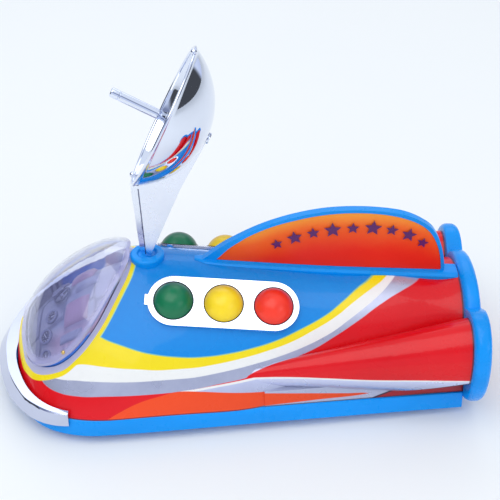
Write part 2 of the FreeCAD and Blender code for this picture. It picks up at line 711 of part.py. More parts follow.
def antenna_dish():
    """Pressed bowl with a rolled lip and two locating nubs on its rim."""
    normal = dish_normal()
    behind = Part.makeCylinder(60, 60, DISH_C, normal * -1)
    bowl = dish_ball(0).cut(dish_ball(-SHEET)).common(behind)
    lip = Part.makeTorus(DISH_R - 0.4, 0.8, DISH_C, normal)
    bowl = bowl.fuse(lip)
    up = V(-math.sin(math.radians(DISH_TILT_DEG)), 0, math.cos(math.radians(DISH_TILT_DEG)))
    for sign in (1, -1):
        bowl = bowl.fuse(Part.makeSphere(1.5, DISH_C + up * (sign * (DISH_R + 0.3)) + normal * 0.6))
    bowl = bowl.cut(Part.makeCylinder(ROD_R * 0.6, 60, DISH_C - normal * 30, normal))
    return keep_largest(bowl.removeSplitter())


def antenna_feed_rod():
    """Feed horn stem standing on the dish's centre, turned down where it is riveted."""
    normal = dish_normal()
    start = DISH_C - normal * (DISH_DEPTH - SHEET - 0.02)
    rod = Part.makeCylinder(ROD_R, ROD_L, start, normal)
    tip = Part.makeCone(ROD_R, ROD_R - 0.6, 0.7, start + normal * ROD_L, normal)
    collar = Part.makeCylinder(ROD_R + 0.5, 2.0, start + normal * 17.5, normal)
    base = Part.makeCone(ROD_R + 1.6, ROD_R, 2.2, start + normal * 0.5, normal)
    stud = Part.makeCylinder(ROD_R * 0.58, SHEET + 1.2, start - normal * (SHEET + 1.1), normal)
    head = Part.makeCylinder(ROD_R + 0.6, 0.9, start - normal * (SHEET + 1.2), normal)
    rod = rod.fuse([tip, collar, base, stud, head]).removeSplitter()
    return rod.cut(antenna_dish())


def mast_prow(inset_by):
    """Folded sheet in plan: a ridge in front, two side plates running back and up."""
    wires = []
    for z, front, rear, half, nose in MAST_SECTIONS:
        f, r, h = front - inset_by * 1.4, rear - inset_by, half - inset_by
        wires.append(Part.makePolygon([V(f, 0, z), V(f - nose, h, z), V(r, h, z), V(r, -h, z),
                                       V(f - nose, -h, z), V(f, 0, z)]))
    lower = Part.makeLoft(wires[:2], True, True)
    return lower.fuse(Part.makeLoft(wires[1:], True, True))


def antenna_mast():
    """Folded tin gusset from the shaft's cap up to the dish's back."""
    outer = mast_prow(0.0)
    walls = outer.cut(mast_prow(SHEET))
    cap = outer.common(box(0, 80, -20, 20, MAST_LOW, MAST_LOW + 2.0))
    mast = walls.fuse(cap).cut([dish_ball(0.05), antenna_dish()])
    ahead = Part.makeCylinder(90, 90, DISH_C - dish_normal() * 1.5, dish_normal())
    mast = mast.cut(ahead.common(box(-100, 200, -60, 60, MAST_FRONT_TOP, 300)))
    mast = mast.cut(cyl_z(MAST_X, 0, SHAFT_R, 40, 90))
    return keep_largest(mast.removeSplitter())


def antenna_shaft():
    z0 = friction_top() + FRICTION_GAP
    return cyl_z(MAST_X, 0, SHAFT_R, z0 - 0.6, MAST_LOW + 2.0)


def friction_top():
    return COUNTER_Z + FRICTION_R


def antenna_friction_disc():
    """Fibre disc that the rubber wheel rolls under."""
    z0 = friction_top() + FRICTION_GAP
    disc = cyl_z(MAST_X, 0, DISC_R, z0, z0 + DISC_T)
    hub = Part.makeCone(4.0, 3.0, 5.0, V(MAST_X, 0, z0 + DISC_T), V(0, 0, 1))
    return disc.fuse(hub).cut(cyl_z(MAST_X, 0, SHAFT_R, 0, 90)).removeSplitter()


def shaft_clip():
    """Spring clip in a groove just under the collar; it stops the antenna lifting out."""
    z = ridge(MAST_X) - 5.9
    clip = cyl_z(MAST_X, 0, 3.6, z, z + 0.7).cut(cyl_z(MAST_X, 0, SHAFT_R, 0, 90))
    return clip.cut(box(MAST_X, MAST_X + 9, -0.9, 0.9, z - 1, z + 2))


# ---- gear train ---------------------------------------------------------------------
def involute_point(base_r, r, angle):
    """Point on an involute of the base circle, at radius r, turned by an angle."""
    roll = math.sqrt(max(0.0, (r / base_r) ** 2 - 1))
    phase = roll - math.atan(roll)
    return V(r * math.cos(angle + phase), r * math.sin(angle + phase), 0)


def gear_blank(teeth, phase_deg):
    """Flat involute outline; a tooth's middle lies at the phase angle."""
    pressure = math.radians(20)
    pitch_r = MODULE * teeth / 2
    base_r = pitch_r * math.cos(pressure)
    tip_r = pitch_r + MODULE
    root_r = pitch_r - 1.25 * MODULE
    inv = math.tan(pressure) - pressure
    half = math.pi / (2 * teeth) - BACKLASH / (2 * 2 * pitch_r) + inv
    start_r = max(base_r, root_r)
    radii = [start_r + (tip_r - start_r) * i / 4 for i in range(5)]
    points = []
    for k in range(teeth):
        middle = math.radians(phase_deg) + 2 * math.pi * k / teeth
        rise = [involute_point(base_r, r, middle - half) for r in radii]
        fall = []
        for p in reversed(rise):
            a = 2 * middle - math.atan2(p.y, p.x)
            fall.append(V(p.Length * math.cos(a), p.Length * math.sin(a), 0))
        foot = middle - half
        points.append(V(root_r * math.cos(foot), root_r * math.sin(foot), 0))
        points += rise + fall
        foot = middle + half
        points.append(V(root_r * math.cos(foot), root_r * math.sin(foot), 0))
    return points


def gear(teeth, phase_deg, x, z, y0, y1):
    """Spur gear about a Y axis; phase is measured from +X towards +Z."""
    blank = prism(gear_blank(teeth, phase_deg), V(0, 0, -(y1 - y0)))
    blank.rotate(V(0, 0, 0), V(1, 0, 0), 90)
    blank.translate(V(x, y0, z))
    return blank


def mesh_angle(x0, z0, x1, z1):
    return math.degrees(math.atan2(z1 - z0, x1 - x0))


def drive_gear():
    towards = mesh_angle(DRIVE_X, WHEEL_R, COUNTER_X, COUNTER_Z)
    wheel = gear(DRIVE_TEETH, towards, DRIVE_X, WHEEL_R, -1.0, -1.0 + GEAR_W)
    hub = cyl_y(DRIVE_X, WHEEL_R, 4.0, -3.4, -1.0 + GEAR_W + 0.6)
    return wheel.fuse(hub).cut(cyl_y(DRIVE_X, WHEEL_R, AXLE_R, -20, 20)).removeSplitter()


def reduction_gear():
    """Cluster on the counter shaft: small pinion and large wheel moulded together."""
    towards = mesh_angle(COUNTER_X, COUNTER_Z, DRIVE_X, WHEEL_R)
    small = gear(SMALL_TEETH, towards + 180.0 / SMALL_TEETH, COUNTER_X, COUNTER_Z, -1.4, 3.0)
    large = gear(LARGE_TEETH, MOTOR_ANGLE, COUNTER_X, COUNTER_Z, 3.0, 3.0 + GEAR_W)
    hub = cyl_y(COUNTER_X, COUNTER_Z, 2.6, -4.0, 8.0)
    cluster = small.fuse([large, hub])
    return cluster.cut(cyl_y(COUNTER_X, COUNTER_Z, AXLE_R, -20, 20)).removeSplitter()


def motor_pinion():
    towards = MOTOR_ANGLE + 180.0
    pinion = gear(SMALL_TEETH, towards + 180.0 / SMALL_TEETH, MOTOR_X, MOTOR_Z, 2.0, 7.0)
    return pinion.cut(cyl_y(MOTOR_X, MOTOR_Z, MOTOR_SHAFT_R, -20, 20))


def drive_axle():
    return cyl_y(DRIVE_X, WHEEL_R, AXLE_R, -WHEEL_Y - 3.0, WHEEL_Y + 3.0)


def counter_shaft():
    return cyl_y(COUNTER_X, COUNTER_Z, AXLE_R, -PLATE_Y - PLATE_T - 1.2, FRICTION_Y + 3.0)


def motor_shaft():
    return cyl_y(MOTOR_X, MOTOR_Z, MOTOR_SHAFT_R, -PLATE_Y - PLATE_T - MOTOR_L + 2.0, 8.4)


def motor():
    """Can motor with its flats, end cap and two solder tags."""
    y1 = -PLATE_Y - PLATE_T
    y0 = y1 - MOTOR_L
    can = cyl_y(MOTOR_X, MOTOR_Z, MOTOR_R, y0, y1)
    flats = box(MOTOR_X - 12, MOTOR_X + 12, y0 - 1, y1 + 1, MOTOR_Z - 7.6, MOTOR_Z + 7.6)
    can = can.common(flats)
    for tag_x in (MOTOR_X - 5, MOTOR_X + 5):
        can = can.fuse(box(tag_x - 1, tag_x + 1, y0 - 3.0, y0, MOTOR_Z - 0.3, MOTOR_Z + 0.3))
    bore = cyl_y(MOTOR_X, MOTOR_Z, MOTOR_SHAFT_R + FIT, y0 + 1.5, y1 + 1)
    return can.cut(bore).removeSplitter()


def friction_wheel():
    wheel = cyl_y(COUNTER_X, COUNTER_Z, FRICTION_R, FRICTION_Y - 1.5, FRICTION_Y + 1.5)
    return wheel.cut(cyl_y(COUNTER_X, COUNTER_Z, AXLE_R, 0, 40))


def gearbox_plate(side):
    """Side plate with running holes for both shafts."""
    y0 = PLATE_Y if side > 0 else -PLATE_Y - PLATE_T
    outline = [V(16, y0, 7.2), V(62, y0, 7.2), V(62, y0, 26), V(48, y0, 32), V(16, y0, 32)]
    plate = prism(outline, V(0, PLATE_T, 0))
    foot_y = side * (PLATE_Y + PLATE_T)
    low, high = min(foot_y, foot_y + side * 6), max(foot_y, foot_y + side * 6)
    foot = box(16, 27, low, high, 6.65, 7.85)
    plate = plate.fuse(foot)
    holes = [cyl_y(DRIVE_X, WHEEL_R, AXLE_R + FIT, -20, 20),
             cyl_y(COUNTER_X, COUNTER_Z, AXLE_R + FIT, -20, 20), cyl_y(MOTOR_X, MOTOR_Z, 3.0, -20, 20)]
    holes += [cyl_y(x, z, 1.5, -20, 20) for x, z in PILLARS]
    return plate.cut(Part.makeCompound(holes)).removeSplitter()


def gearbox_pillars():
    """Spacers between the plates with riveted ends."""
    group = []
    for x, z in PILLARS:
        spacer = cyl_y(x, z, 2.2, -PLATE_Y, PLATE_Y)
        ends = cyl_y(x, z, 1.5, -PLATE_Y - PLATE_T, PLATE_Y + PLATE_T)
        group.append(spacer.fuse(ends).removeSplitter().cut(cyl_y(x, z, 0.8, PLATE_Y - 3, PLATE_Y + 3)))
    return Part.makeCompound(group)


def gearbox_screws():
    """Pan-head screws that close the left plate onto the pillars."""
    group = []
    y = PLATE_Y + PLATE_T
    for x, z in PILLARS:
        head = cyl_y(x, z, 2.4, y, y + 1.4)
        shank = cyl_y(x, z, 0.78, PLATE_Y - 2.8, y + 0.2)
        slot = box(x - 3, x + 3, y + 0.8, y + 2, z - 0.35, z + 0.35)
        group.append(head.fuse(shank).cut(slot).removeSplitter())
    return Part.makeCompound(group)


# ---- wheels -------------------------------------------------------------------------
def wheel_core(x, z, r, y, width, axle_r, side):
    """Moulded wheel with a dished outer face."""
    core = cyl_y(x, z, r, y - width / 2, y + width / 2)
    dish_y = y + width / 2 - 1.6 if side > 0 else y - width / 2 - 0.01
    core = core.cut(cyl_y(x, z, r - 1.8, dish_y, dish_y + 1.61))
    hub = cyl_y(x, z, 3.2, y - width / 2, y + width / 2)
    return core.fuse(hub).cut(cyl_y(x, z, axle_r, y - 30, y + 30)).removeSplitter()


def drive_wheel(side):
    return wheel_core(DRIVE_X, WHEEL_R, WHEEL_R - TYRE_T, side * WHEEL_Y, WHEEL_W, AXLE_R, side)


def drive_tyre(side):
    """Rubber band tyre with two grooves."""
    y = side * WHEEL_Y
    half = WHEEL_W / 2
    tyre = cyl_y(DRIVE_X, WHEEL_R, WHEEL_R, y - half, y + half)
    tyre = tyre.cut(cyl_y(DRIVE_X, WHEEL_R, WHEEL_R - TYRE_T, y - half - 1, y + half + 1))
    for g in (-1.5, 1.5):
        groove = cyl_y(DRIVE_X, WHEEL_R, WHEEL_R + 1, y + g - 0.4, y + g + 0.4)
        tyre = tyre.cut(groove.cut(cyl_y(DRIVE_X, WHEEL_R, WHEEL_R - 0.7, y - 9, y + 9)))
    return tyre


def rear_wheel(side):
    return wheel_core(REAR_X, REAR_R, REAR_R, side * REAR_Y, REAR_W, AXLE_R, side)


def rear_axle():
    return cyl_y(REAR_X, REAR_R, AXLE_R, -REAR_Y - 4.0, REAR_Y + 4.0)


def rear_axle_bearings():
    """Two posts that stand on the tray and carry the rear axle."""
    group = []
    for side in (1, -1):
        y = side * 20.0
        post = box(REAR_X - 4, REAR_X + 4, y - 2, y + 2, BASE_BOTTOM + BASE_FLOOR, REAR_R)
        crown = cyl_y(REAR_X, REAR_R, 4.0, y - 2, y + 2)
        low = box(REAR_X - 9, REAR_X + 9, y - 9, y + 9, 0, BASE_BOTTOM + BASE_FLOOR)
        post = post.fuse(crown).cut(low)
        group.append(post.cut(cyl_y(REAR_X, REAR_R, AXLE_R + FIT, y - 5, y + 5)).removeSplitter())
    return Part.makeCompound(group)


# ---- battery and switch -------------------------------------------------------------
def battery_box():
    outer = box(BOX_X0, BOX_X1, -BOX_HALF, BOX_HALF, BASE_BOTTOM + BASE_FLOOR, BOX_Z1)
    inner = box(BOX_X0 + 1.6, BOX_X1 - 1.6, -BOX_HALF + 1.6, BOX_HALF - 1.6, 0, BOX_Z1 - 1.6)
    rib = box(BOX_X0 + 3, BOX_X1 - 3, -0.7, 0.7, 22.0, BOX_Z1 - 1)
    return outer.cut(inner).fuse(rib).removeSplitter()


def battery_cells():
    """Two cells side by side, facing opposite ways."""
    group = []
    middle = (BOX_X0 + BOX_X1) / 2
    for side in (1, -1):
        x0 = middle - CELL_L / 2
        can_x, nub_x = (x0, x0 + CELL_L - CELL_NUB) if side > 0 else (x0 + CELL_NUB, x0)
        can = Part.makeCylinder(CELL_R, CELL_L - CELL_NUB, V(can_x, side * CELL_Y, CELL_Z), V(1, 0, 0))
        nub = Part.makeCylinder(3.2, CELL_NUB, V(nub_x, side * CELL_Y, CELL_Z), V(1, 0, 0))
        group.append(can.fuse(nub).removeSplitter())
    return Part.makeCompound(group)


def battery_contacts():
    """Sprung strips on the box's end walls."""
    front = box(BOX_X1 - 2.1, BOX_X1 - 1.6, -20, 20, 14, 27)
    rear_left = box(BOX_X0 + 1.6, BOX_X0 + 2.1, 8, 20, 14, 27)
    rear_right = box(BOX_X0 + 1.6, BOX_X0 + 2.1, -20, -8, 14, 27)
    return Part.makeCompound([front, rear_left, rear_right])


def battery_springs():
    """Flat-wound contact springs, drawn as rings joined into short cones."""
    group = []
    middle = (BOX_X0 + BOX_X1) / 2
    gap = (BOX_X1 - 2.1) - (middle + CELL_L / 2)
    for side, base, direction in ((-1, BOX_X1 - 2.1, -1), (1, BOX_X0 + 2.1, 1)):
        outer = Part.makeCone(5.0, 3.2, gap, V(base, side * CELL_Y, CELL_Z), V(direction, 0, 0))
        inner = Part.makeCone(4.0, 2.2, gap, V(base, side * CELL_Y, CELL_Z), V(direction, 0, 0))
        group.append(outer.cut(inner))
    return Part.makeCompound(group)


def battery_door():
    """Cover under the tray, held by its edges in the rails; slides back to open."""
    plate = box(BOX_X0 + 2, BOX_X1 - 2, -DOOR_HALF, DOOR_HALF, DOOR_Z, DOOR_Z + DOOR_T)
    ribs = []
    for i in range(5):
        x = BOX_X1 - 8 - 2.4 * i
        ribs.append(box(x - 1.0, x, -10, 10, DOOR_Z - 0.6, DOOR_Z + 0.1))
    return plate.fuse(ribs).removeSplitter()


def switch_body():
    z0 = BASE_BOTTOM + BASE_FLOOR
    case = box(SWITCH_X - 9, SWITCH_X + 9, SWITCH_Y - 4.5, SWITCH_Y + 4.5, z0, z0 + 6.0)
    well = box(SWITCH_X - 5, SWITCH_X + 5, SWITCH_Y - 2.4, SWITCH_Y + 2.4, z0 - 1, z0 + 4.0)
    case = case.cut(well)
    for i in (-1, 0, 1):
        case = case.fuse(box(SWITCH_X + 5 * i - 0.4, SWITCH_X + 5 * i + 0.4, SWITCH_Y - 1, SWITCH_Y + 1,
                             z0 + 5.9, z0 + 9.0))
    return case.removeSplitter()


def switch_knob():
    """Ribbed slider, shown in its rear (off) position."""
    z0 = BASE_BOTTOM - 2.0
    x0 = SWITCH_X - 5 + 0.3
    width = 2.4 - 0.3
    knob = box(x0, x0 + 5.4, SWITCH_Y - width, SWITCH_Y + width, z0, BASE_BOTTOM + BASE_FLOOR + 3.4)
    for i in range(3):
        x = x0 + 1.2 + 1.4 * i
        knob = knob.cut(box(x, x + 0.5, SWITCH_Y - 5, SWITCH_Y + 5, z0 - 1, z0 + 0.5))
    return knob


def base_screws():
    """Cross-head screws up through the tray."""
    group = []
    for x, y in SCREWS:
        head = cyl_z(x, y, 2.8, BASE_BOTTOM - 1.2, BASE_BOTTOM)
        shank = cyl_z(x, y, 1.5, BASE_BOTTOM - 0.2, BASE_BOTTOM + 6.0)
        cross = [box(x - 1.8, x + 1.8, y - 0.4, y + 0.4, 0, BASE_BOTTOM - 0.6),
                 box(x - 0.4, x + 0.4, y - 1.8, y + 1.8, 0, BASE_BOTTOM - 0.6)]
        group.append(head.fuse(shank).cut(cross[0]).cut(cross[1]).removeSplitter())
    return Part.makeCompound(group)


# ---- write every sub-part -----------------------------------------------------------
SINGLE = {
    "body_shell": body_shell, "base_tray": base_tray, "tail_ring": tail_ring, "tail_plate": tail_plate,
    "nose_bumper": nose_bumper, "windscreen": windscreen, "cockpit_panel": cockpit_panel,
    "fin_frame": fin_frame, "antenna_grommet": antenna_grommet, "antenna_dish": antenna_dish,
    "antenna_mast": antenna_mast, "antenna_feed_rod": antenna_feed_rod, "antenna_shaft": antenna_shaft,
    "antenna_friction_disc": antenna_friction_disc, "shaft_clip": shaft_clip,
    "gearbox_pillars": gearbox_pillars, "gearbox_screws": gearbox_screws, "motor": motor,
    "motor_shaft": motor_shaft, "motor_pinion": motor_pinion, "counter_shaft": counter_shaft,
    "reduction_gear": reduction_gear, "friction_wheel": friction_wheel, "drive_axle": drive_axle,
    "drive_gear": drive_gear, "rear_axle": rear_axle, "rear_axle_bearings": rear_axle_bearings,
    "battery_box": battery_box, "battery_cells": battery_cells, "battery_contacts": battery_contacts,
    "battery_springs": battery_springs, "battery_door": battery_door, "switch_body": switch_body,
    "switch_knob": switch_knob, "base_screws": base_screws,
}
PAIRED = {
    "fin_panel": fin_panel, "lamp_bezel": lamp_bezel, "bulb_board": bulb_board, "bulbs": bulbs,
    "gearbox_plate": gearbox_plate, "drive_wheel": drive_wheel, "drive_tyre": drive_tyre,
    "rear_wheel": rear_wheel,
}
TURNED = ("antenna_dish", "antenna_feed_rod", "antenna_mast")
LAMP_COLOURS = ("green", "yellow", "red")


def main():
    os.makedirs("parts", exist_ok=True)
    for name, build in SINGLE.items():
        save(name, turned(build()) if name in TURNED else build())
    for name, build in PAIRED.items():
        for side, word in ((1, "left"), (-1, "right")):
            save("%s_%s" % (name, word), build(side))
    for index, colour in enumerate(LAMP_COLOURS):
        for side, word in ((1, "left"), (-1, "right")):
            save("lamp_%s_%s" % (colour, word), lamp(index, side))


main()
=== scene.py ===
"""Looks of the battery-powered tin space rocket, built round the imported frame. Units are metres."""
import math

import bmesh
import bpy
from mathutils import Matrix, Vector
from mathutils.bvhtree import BVHTree

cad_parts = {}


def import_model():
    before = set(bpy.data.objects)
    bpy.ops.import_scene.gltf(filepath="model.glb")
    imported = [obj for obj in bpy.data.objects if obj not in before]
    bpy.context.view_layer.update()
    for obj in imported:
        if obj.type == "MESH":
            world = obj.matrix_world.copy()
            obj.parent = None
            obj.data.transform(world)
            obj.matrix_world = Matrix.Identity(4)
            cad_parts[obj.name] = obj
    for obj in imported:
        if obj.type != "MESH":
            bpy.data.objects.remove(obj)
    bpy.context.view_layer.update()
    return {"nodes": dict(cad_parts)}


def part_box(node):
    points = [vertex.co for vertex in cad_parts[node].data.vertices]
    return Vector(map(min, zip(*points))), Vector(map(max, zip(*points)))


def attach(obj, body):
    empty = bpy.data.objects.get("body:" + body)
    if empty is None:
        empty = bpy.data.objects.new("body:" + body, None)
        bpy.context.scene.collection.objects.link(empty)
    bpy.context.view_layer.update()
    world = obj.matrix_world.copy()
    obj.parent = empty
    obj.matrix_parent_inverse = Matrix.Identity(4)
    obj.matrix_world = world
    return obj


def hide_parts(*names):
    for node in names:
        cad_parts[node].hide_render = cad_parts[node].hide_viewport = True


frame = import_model()
MM = 0.001
SIDES = (("left", 1), ("right", -1))


# ---- shader graphs ------------------------------------------------------------------
class Nodes:
    """Short calls that add nodes to a tree."""

    def __init__(self, tree):
        self.tree = tree

    def node(self, kind, **props):
        made = self.tree.nodes.new(kind)
        for key, value in props.items():
            setattr(made, key, value)
        return made

    def put(self, socket, value):
        if isinstance(value, bpy.types.NodeSocket):
            self.tree.links.new(value, socket)
        else:
            socket.default_value = value

    def math(self, op, *values, clamp=False):
        made = self.node("ShaderNodeMath", operation=op, use_clamp=clamp)
        for socket, value in zip(made.inputs, values):
            self.put(socket, value)
        return made.outputs[0]

    def mix(self, factor, a, b, blend="MIX"):
        made = self.node("ShaderNodeMix", data_type="RGBA", blend_type=blend)
        self.put(made.inputs[0], factor)
        self.put(made.inputs[6], a)
        self.put(made.inputs[7], b)
        return made.outputs[2]

    def remap(self, value, low, high, to_low=0.0, to_high=1.0, smooth=False):
        made = self.node("ShaderNodeMapRange", clamp=True)
        made.interpolation_type = "SMOOTHSTEP" if smooth else "LINEAR"
        for socket, item in zip(made.inputs, (value, low, high, to_low, to_high)):
            self.put(socket, item)
        return made.outputs[0]

    def invert(self, mask):
        return self.math("SUBTRACT", 1.0, mask)

    def both(self, mask, other):
        return self.math("MULTIPLY", mask, other)


class Graph(Nodes):
    """One material, with nodes that place its print on the object."""

    def __init__(self, name, **sockets):
        self.mat = bpy.data.materials.new(name)
        self.mat.use_nodes = True
        super().__init__(self.mat.node_tree)
        self.shader = self.tree.nodes["Principled BSDF"]
        self.out = self.tree.nodes["Material Output"]
        for key, value in sockets.items():
            self.set(key.replace("_", " ").title().replace("Ior", "IOR"), value)

    def set(self, socket, value):
        self.put(self.shader.inputs[socket], value)

    def place(self):
        return self.node("ShaderNodeTexCoord").outputs["Object"]

    def axes(self):
        """x, |y| and z in millimetres."""
        scaled = self.node("ShaderNodeVectorMath", operation="SCALE")
        self.put(scaled.inputs[0], self.place())
        scaled.inputs["Scale"].default_value = 1000.0
        split = self.node("ShaderNodeSeparateXYZ")
        self.put(split.inputs[0], scaled.outputs[0])
        x, y, z = split.outputs
        return x, self.math("ABSOLUTE", y), z

    def noise(self, scale, detail=3.0, rough=0.55, stretch=None):
        vector = self.place()
        if stretch:
            mapping = self.node("ShaderNodeMapping")
            self.put(mapping.inputs["Vector"], vector)
            mapping.inputs["Scale"].default_value = stretch
            vector = mapping.outputs[0]
        made = self.node("ShaderNodeTexNoise")
        self.put(made.inputs["Vector"], vector)
        made.inputs["Scale"].default_value = scale
        made.inputs["Detail"].default_value = detail
        made.inputs["Roughness"].default_value = rough
        return made.outputs["Fac"]

    def above(self, value, limit, soft=0.12):
        """1 where value is over limit, with a printed edge's softness."""
        gap = self.math("SUBTRACT", value, limit)
        return self.remap(gap, -soft, soft)

    def below(self, value, limit, soft=0.12):
        """1 where value is under limit."""
        return self.invert(self.above(value, limit, soft))

    def curve(self, x, points, x_span, z_span):
        """Height of a smooth line through points (x, z), for a given x."""
        (x0, x1), (z0, z1) = x_span, z_span
        u = self.remap(x, x0, x1)
        made = self.node("ShaderNodeFloatCurve")
        line = made.mapping.curves[0]
        ready = sorted(((px - x0) / (x1 - x0), (pz - z0) / (z1 - z0)) for px, pz in points)
        line.points[0].location, line.points[1].location = ready[0], ready[-1]
        for spot in ready[1:-1]:
            line.points.new(*spot)
        for point in line.points:
            point.handle_type = "AUTO_CLAMPED"
        made.mapping.update()
        self.put(made.inputs["Value"], u)
        return self.remap(made.outputs[0], 0.0, 1.0, z0, z1)

    def bump(self, height, strength, distance):
        made = self.node("ShaderNodeBump")
        made.inputs["Strength"].default_value = strength
        made.inputs["Distance"].default_value = distance
        self.put(made.inputs["Height"], height)
        self.set("Normal", made.outputs[0])


def tint(colour, factor):
    return tuple(min(1.0, c * factor) for c in colour[:3]) + (1.0,)


AZURE = (0.0, 0.30, 0.90, 1)
PRINT_BLUE = (0.0, 0.235, 0.74, 1)
PRINT_RED = (0.70, 0.004, 0.010, 1)
# painted shade: the red of the wall set back under the side lobes, darkened as it looks in shade
SHADED_WALL_RED = (0.36, 0.012, 0.022, 1)
PRINT_YELLOW = (0.88, 0.70, 0.010, 1)
PRINT_ORANGE = (0.90, 0.072, 0.012, 1)
PRINT_WHITE = (0.82, 0.84, 0.85, 1)
BARE_TIN = (0.46, 0.49, 0.66, 1)
# painted shadow: dark lines under the side lobes, at the tail ring and along the tray
PAINTED_SHADOW_LINE = (0.03, 0.02, 0.045, 1)


def plastic(name, colour, rough, grain, coat):
    """Moulded plastic: faint flow marks, a slightly uneven gloss and an orange-peel skin."""
    g = Graph(name, roughness=rough, coat_weight=coat, coat_roughness=0.12)
    g.set("Specular IOR Level", 0.2)
    flow = g.noise(28.0, 2.0, stretch=(0.35, 1.0, 1.6))
    g.set("Base Color", g.mix(g.remap(flow, 0.35, 0.68), tint(colour, 0.90), tint(colour, 1.08)))
    g.set("Roughness", g.remap(g.noise(160.0, 4.0), 0.3, 0.7, rough - 0.05, rough + 0.08))
    g.bump(g.noise(900.0, 2.0), grain, 0.00006)
    return g.mat


def metal(name, colour, rough, scratch, stretch=(1.0, 1.0, 1.0)):
    """Polished or plated metal with faint smears and hairline scratches."""
    g = Graph(name, metallic=1.0)
    smear = g.noise(45.0, 5.0)
    g.set("Base Color", g.mix(g.remap(smear, 0.3, 0.75), tint(colour, 0.93), tint(colour, 1.03)))
    fine = g.noise(700.0, 3.0, 0.7, stretch)
    g.set("Roughness", g.math("ADD", g.remap(smear, 0.35, 0.75, rough * 0.6, rough * 1.7),
                              g.remap(fine, 0.55, 0.8, 0.0, 0.05)))
    g.bump(fine, scratch, 0.00003)
    return g.mat


# ---- printed tin --------------------------------------------------------------------
# lines (x, z) on the body seen from the side, in millimetres: the lower edge of a stripe, or its top
X_SPAN = (-120.0, 120.0)
Z_SPAN = (0.0, 80.0)
BLUE_LOW = ((-120, 75), (-74, 56.5), (-67, 54.4), (-61.8, 52.9), (-55, 49.9), (-45.2, 45.3),
            (-33.1, 41.2), (-21.1, 38.0), (-9.3, 36.2), (2.5, 35.1), (14.2, 34.8), (23.6, 35.3),
            (37.5, 37.2), (51.5, 40.6), (60.1, 42.3), (68, 44.5), (90, 50), (120, 60))
YELLOW_LOW = ((-120, 78), (-81, 56.6), (-74.1, 54.5), (-67.7, 52.6), (-59.9, 49.6), (-50, 44.8),
              (-38.9, 40.5), (-28.3, 37.1), (-16.3, 34.8), (-4.5, 33.2), (7.2, 32.0), (18.9, 31.3),
              (30.5, 31.3), (46.7, 32.5), (60.8, 33.1), (70.6, 32.4), (76, 29.5), (84, 26), (120, 26))
WHITE_LOW = ((-120, 80), (-86, 56.6), (-78.5, 54.3), (-73.4, 52.0), (-66.2, 48.5), (-57.2, 44.0),
             (-47.5, 39.2), (-35.4, 35.1), (-23.5, 32.5), (-9.2, 30.5), (4.9, 28.9), (18.9, 27.7),
             (37.5, 27.6), (56, 27.9), (70.3, 27.2), (80.4, 25.7), (90, 24.5), (120, 24))
SILVER_LOW = ((-120, 57), (-108, 54.6), (-100.6, 53.9), (-91.4, 53.4), (-82.2, 51.9), (-71.9, 48.5),
              (-62.1, 43.8), (-49.9, 38.0), (-37.8, 33.1), (-23.3, 29.8), (-9.2, 26.3), (5, 24.7),
              (19, 23.1), (37.5, 22.5), (56, 22.7), (70.2, 21.9), (80.2, 21.4), (88.5, 21.8), (93, 25),
              (98, 30), (120, 40))
LENS_TOP = ((-120, 28.9), (-111.5, 28.5), (-88.4, 27.8), (-63, 27.0), (-42, 27.2), (-23.3, 26.8),
            (-9.2, 25.6), (5, 24.4), (16.6, 23.3), (24, 22.7), (40, 10), (120, 5))
ORANGE_TOP = ((-120, 0), (-72, 11), (-66.5, 15.4), (-55, 16.4), (-42.4, 17.4), (-23.3, 18.9),
              (0.3, 20.9), (14, 22.2), (23.6, 22.8), (32.9, 21.5), (42.2, 19.6), (51.5, 16.2),
              (57.2, 13.4), (64, 9), (120, 0))
UNDERCUT = ((-120, 28.9), (-111.8, 26.4), (-94.1, 21.0), (-71.4, 14.1), (-66, 12.4), (-50, 8), (120, 5))
# half-width beyond which the surface belongs to a side lobe
LOBE_SIDE = ((-120, 32.5), (-85, 33), (-65, 34), (-45, 36), (-35, 37.8), (-25, 40.2), (-15, 42.9),
             (-8, 45.2), (0, 60), (120, 70))
ORANGE_LOW = ((-120, 30), (-66.5, 15.6), (-40, 14.4), (-10, 13.2), (10, 12), (120, 10))
# the window's outline in plan about its middle: angle from the nose in degrees, radius
WINDOW_MIDDLE = 77.0
WINDOW_EDGE = ((0, 27.8), (33, 31.2), (54.4, 36.9), (70.8, 41.1), (84.5, 41.8), (97.9, 39.4),
               (116, 35.0), (138.3, 30.8), (160.2, 29.5), (180, 28.5))
# the yellow band round the window: its distance outside that outline, from and to
BAND_IN, BAND_OUT = 1.0, 2.7
# where prints begin and end along the body, and where painted shadow lines run at the tail and above its foot
LENS_END_X, ORANGE_END_X = 24.0, 58.0
NOSE_FROM_X, BAND_END_X = 40.0, 107.3
TAIL_SHADE_X, FOOT_SHADE_Z = -111.3, 13.45
# widths of the thin rims between two prints
BLUE_RIM, LENS_RIM, BAND_RIM = 0.35, 0.9, 0.5
RIM_GREEN = (0.25, 0.55, 0.30, 1)
BAND_GREEN = (0.30, 0.62, 0.35, 1)
STRIP_GREY = (0.42, 0.43, 0.62, 1)


def off_window(g, x, side):
    """Plan distance outside the window's edge, in millimetres."""
    ahead = g.math("SUBTRACT", x, WINDOW_MIDDLE)
    angle = g.math("MULTIPLY", g.math("ARCTAN2", side, ahead), 180.0 / math.pi)
    square = g.math("ADD", g.math("MULTIPLY", ahead, ahead), g.math("MULTIPLY", side, side))
    edge = g.curve(angle, WINDOW_EDGE, (0.0, 180.0), (0.0, 60.0))
    return g.math("SUBTRACT", g.math("SQRT", square), edge)


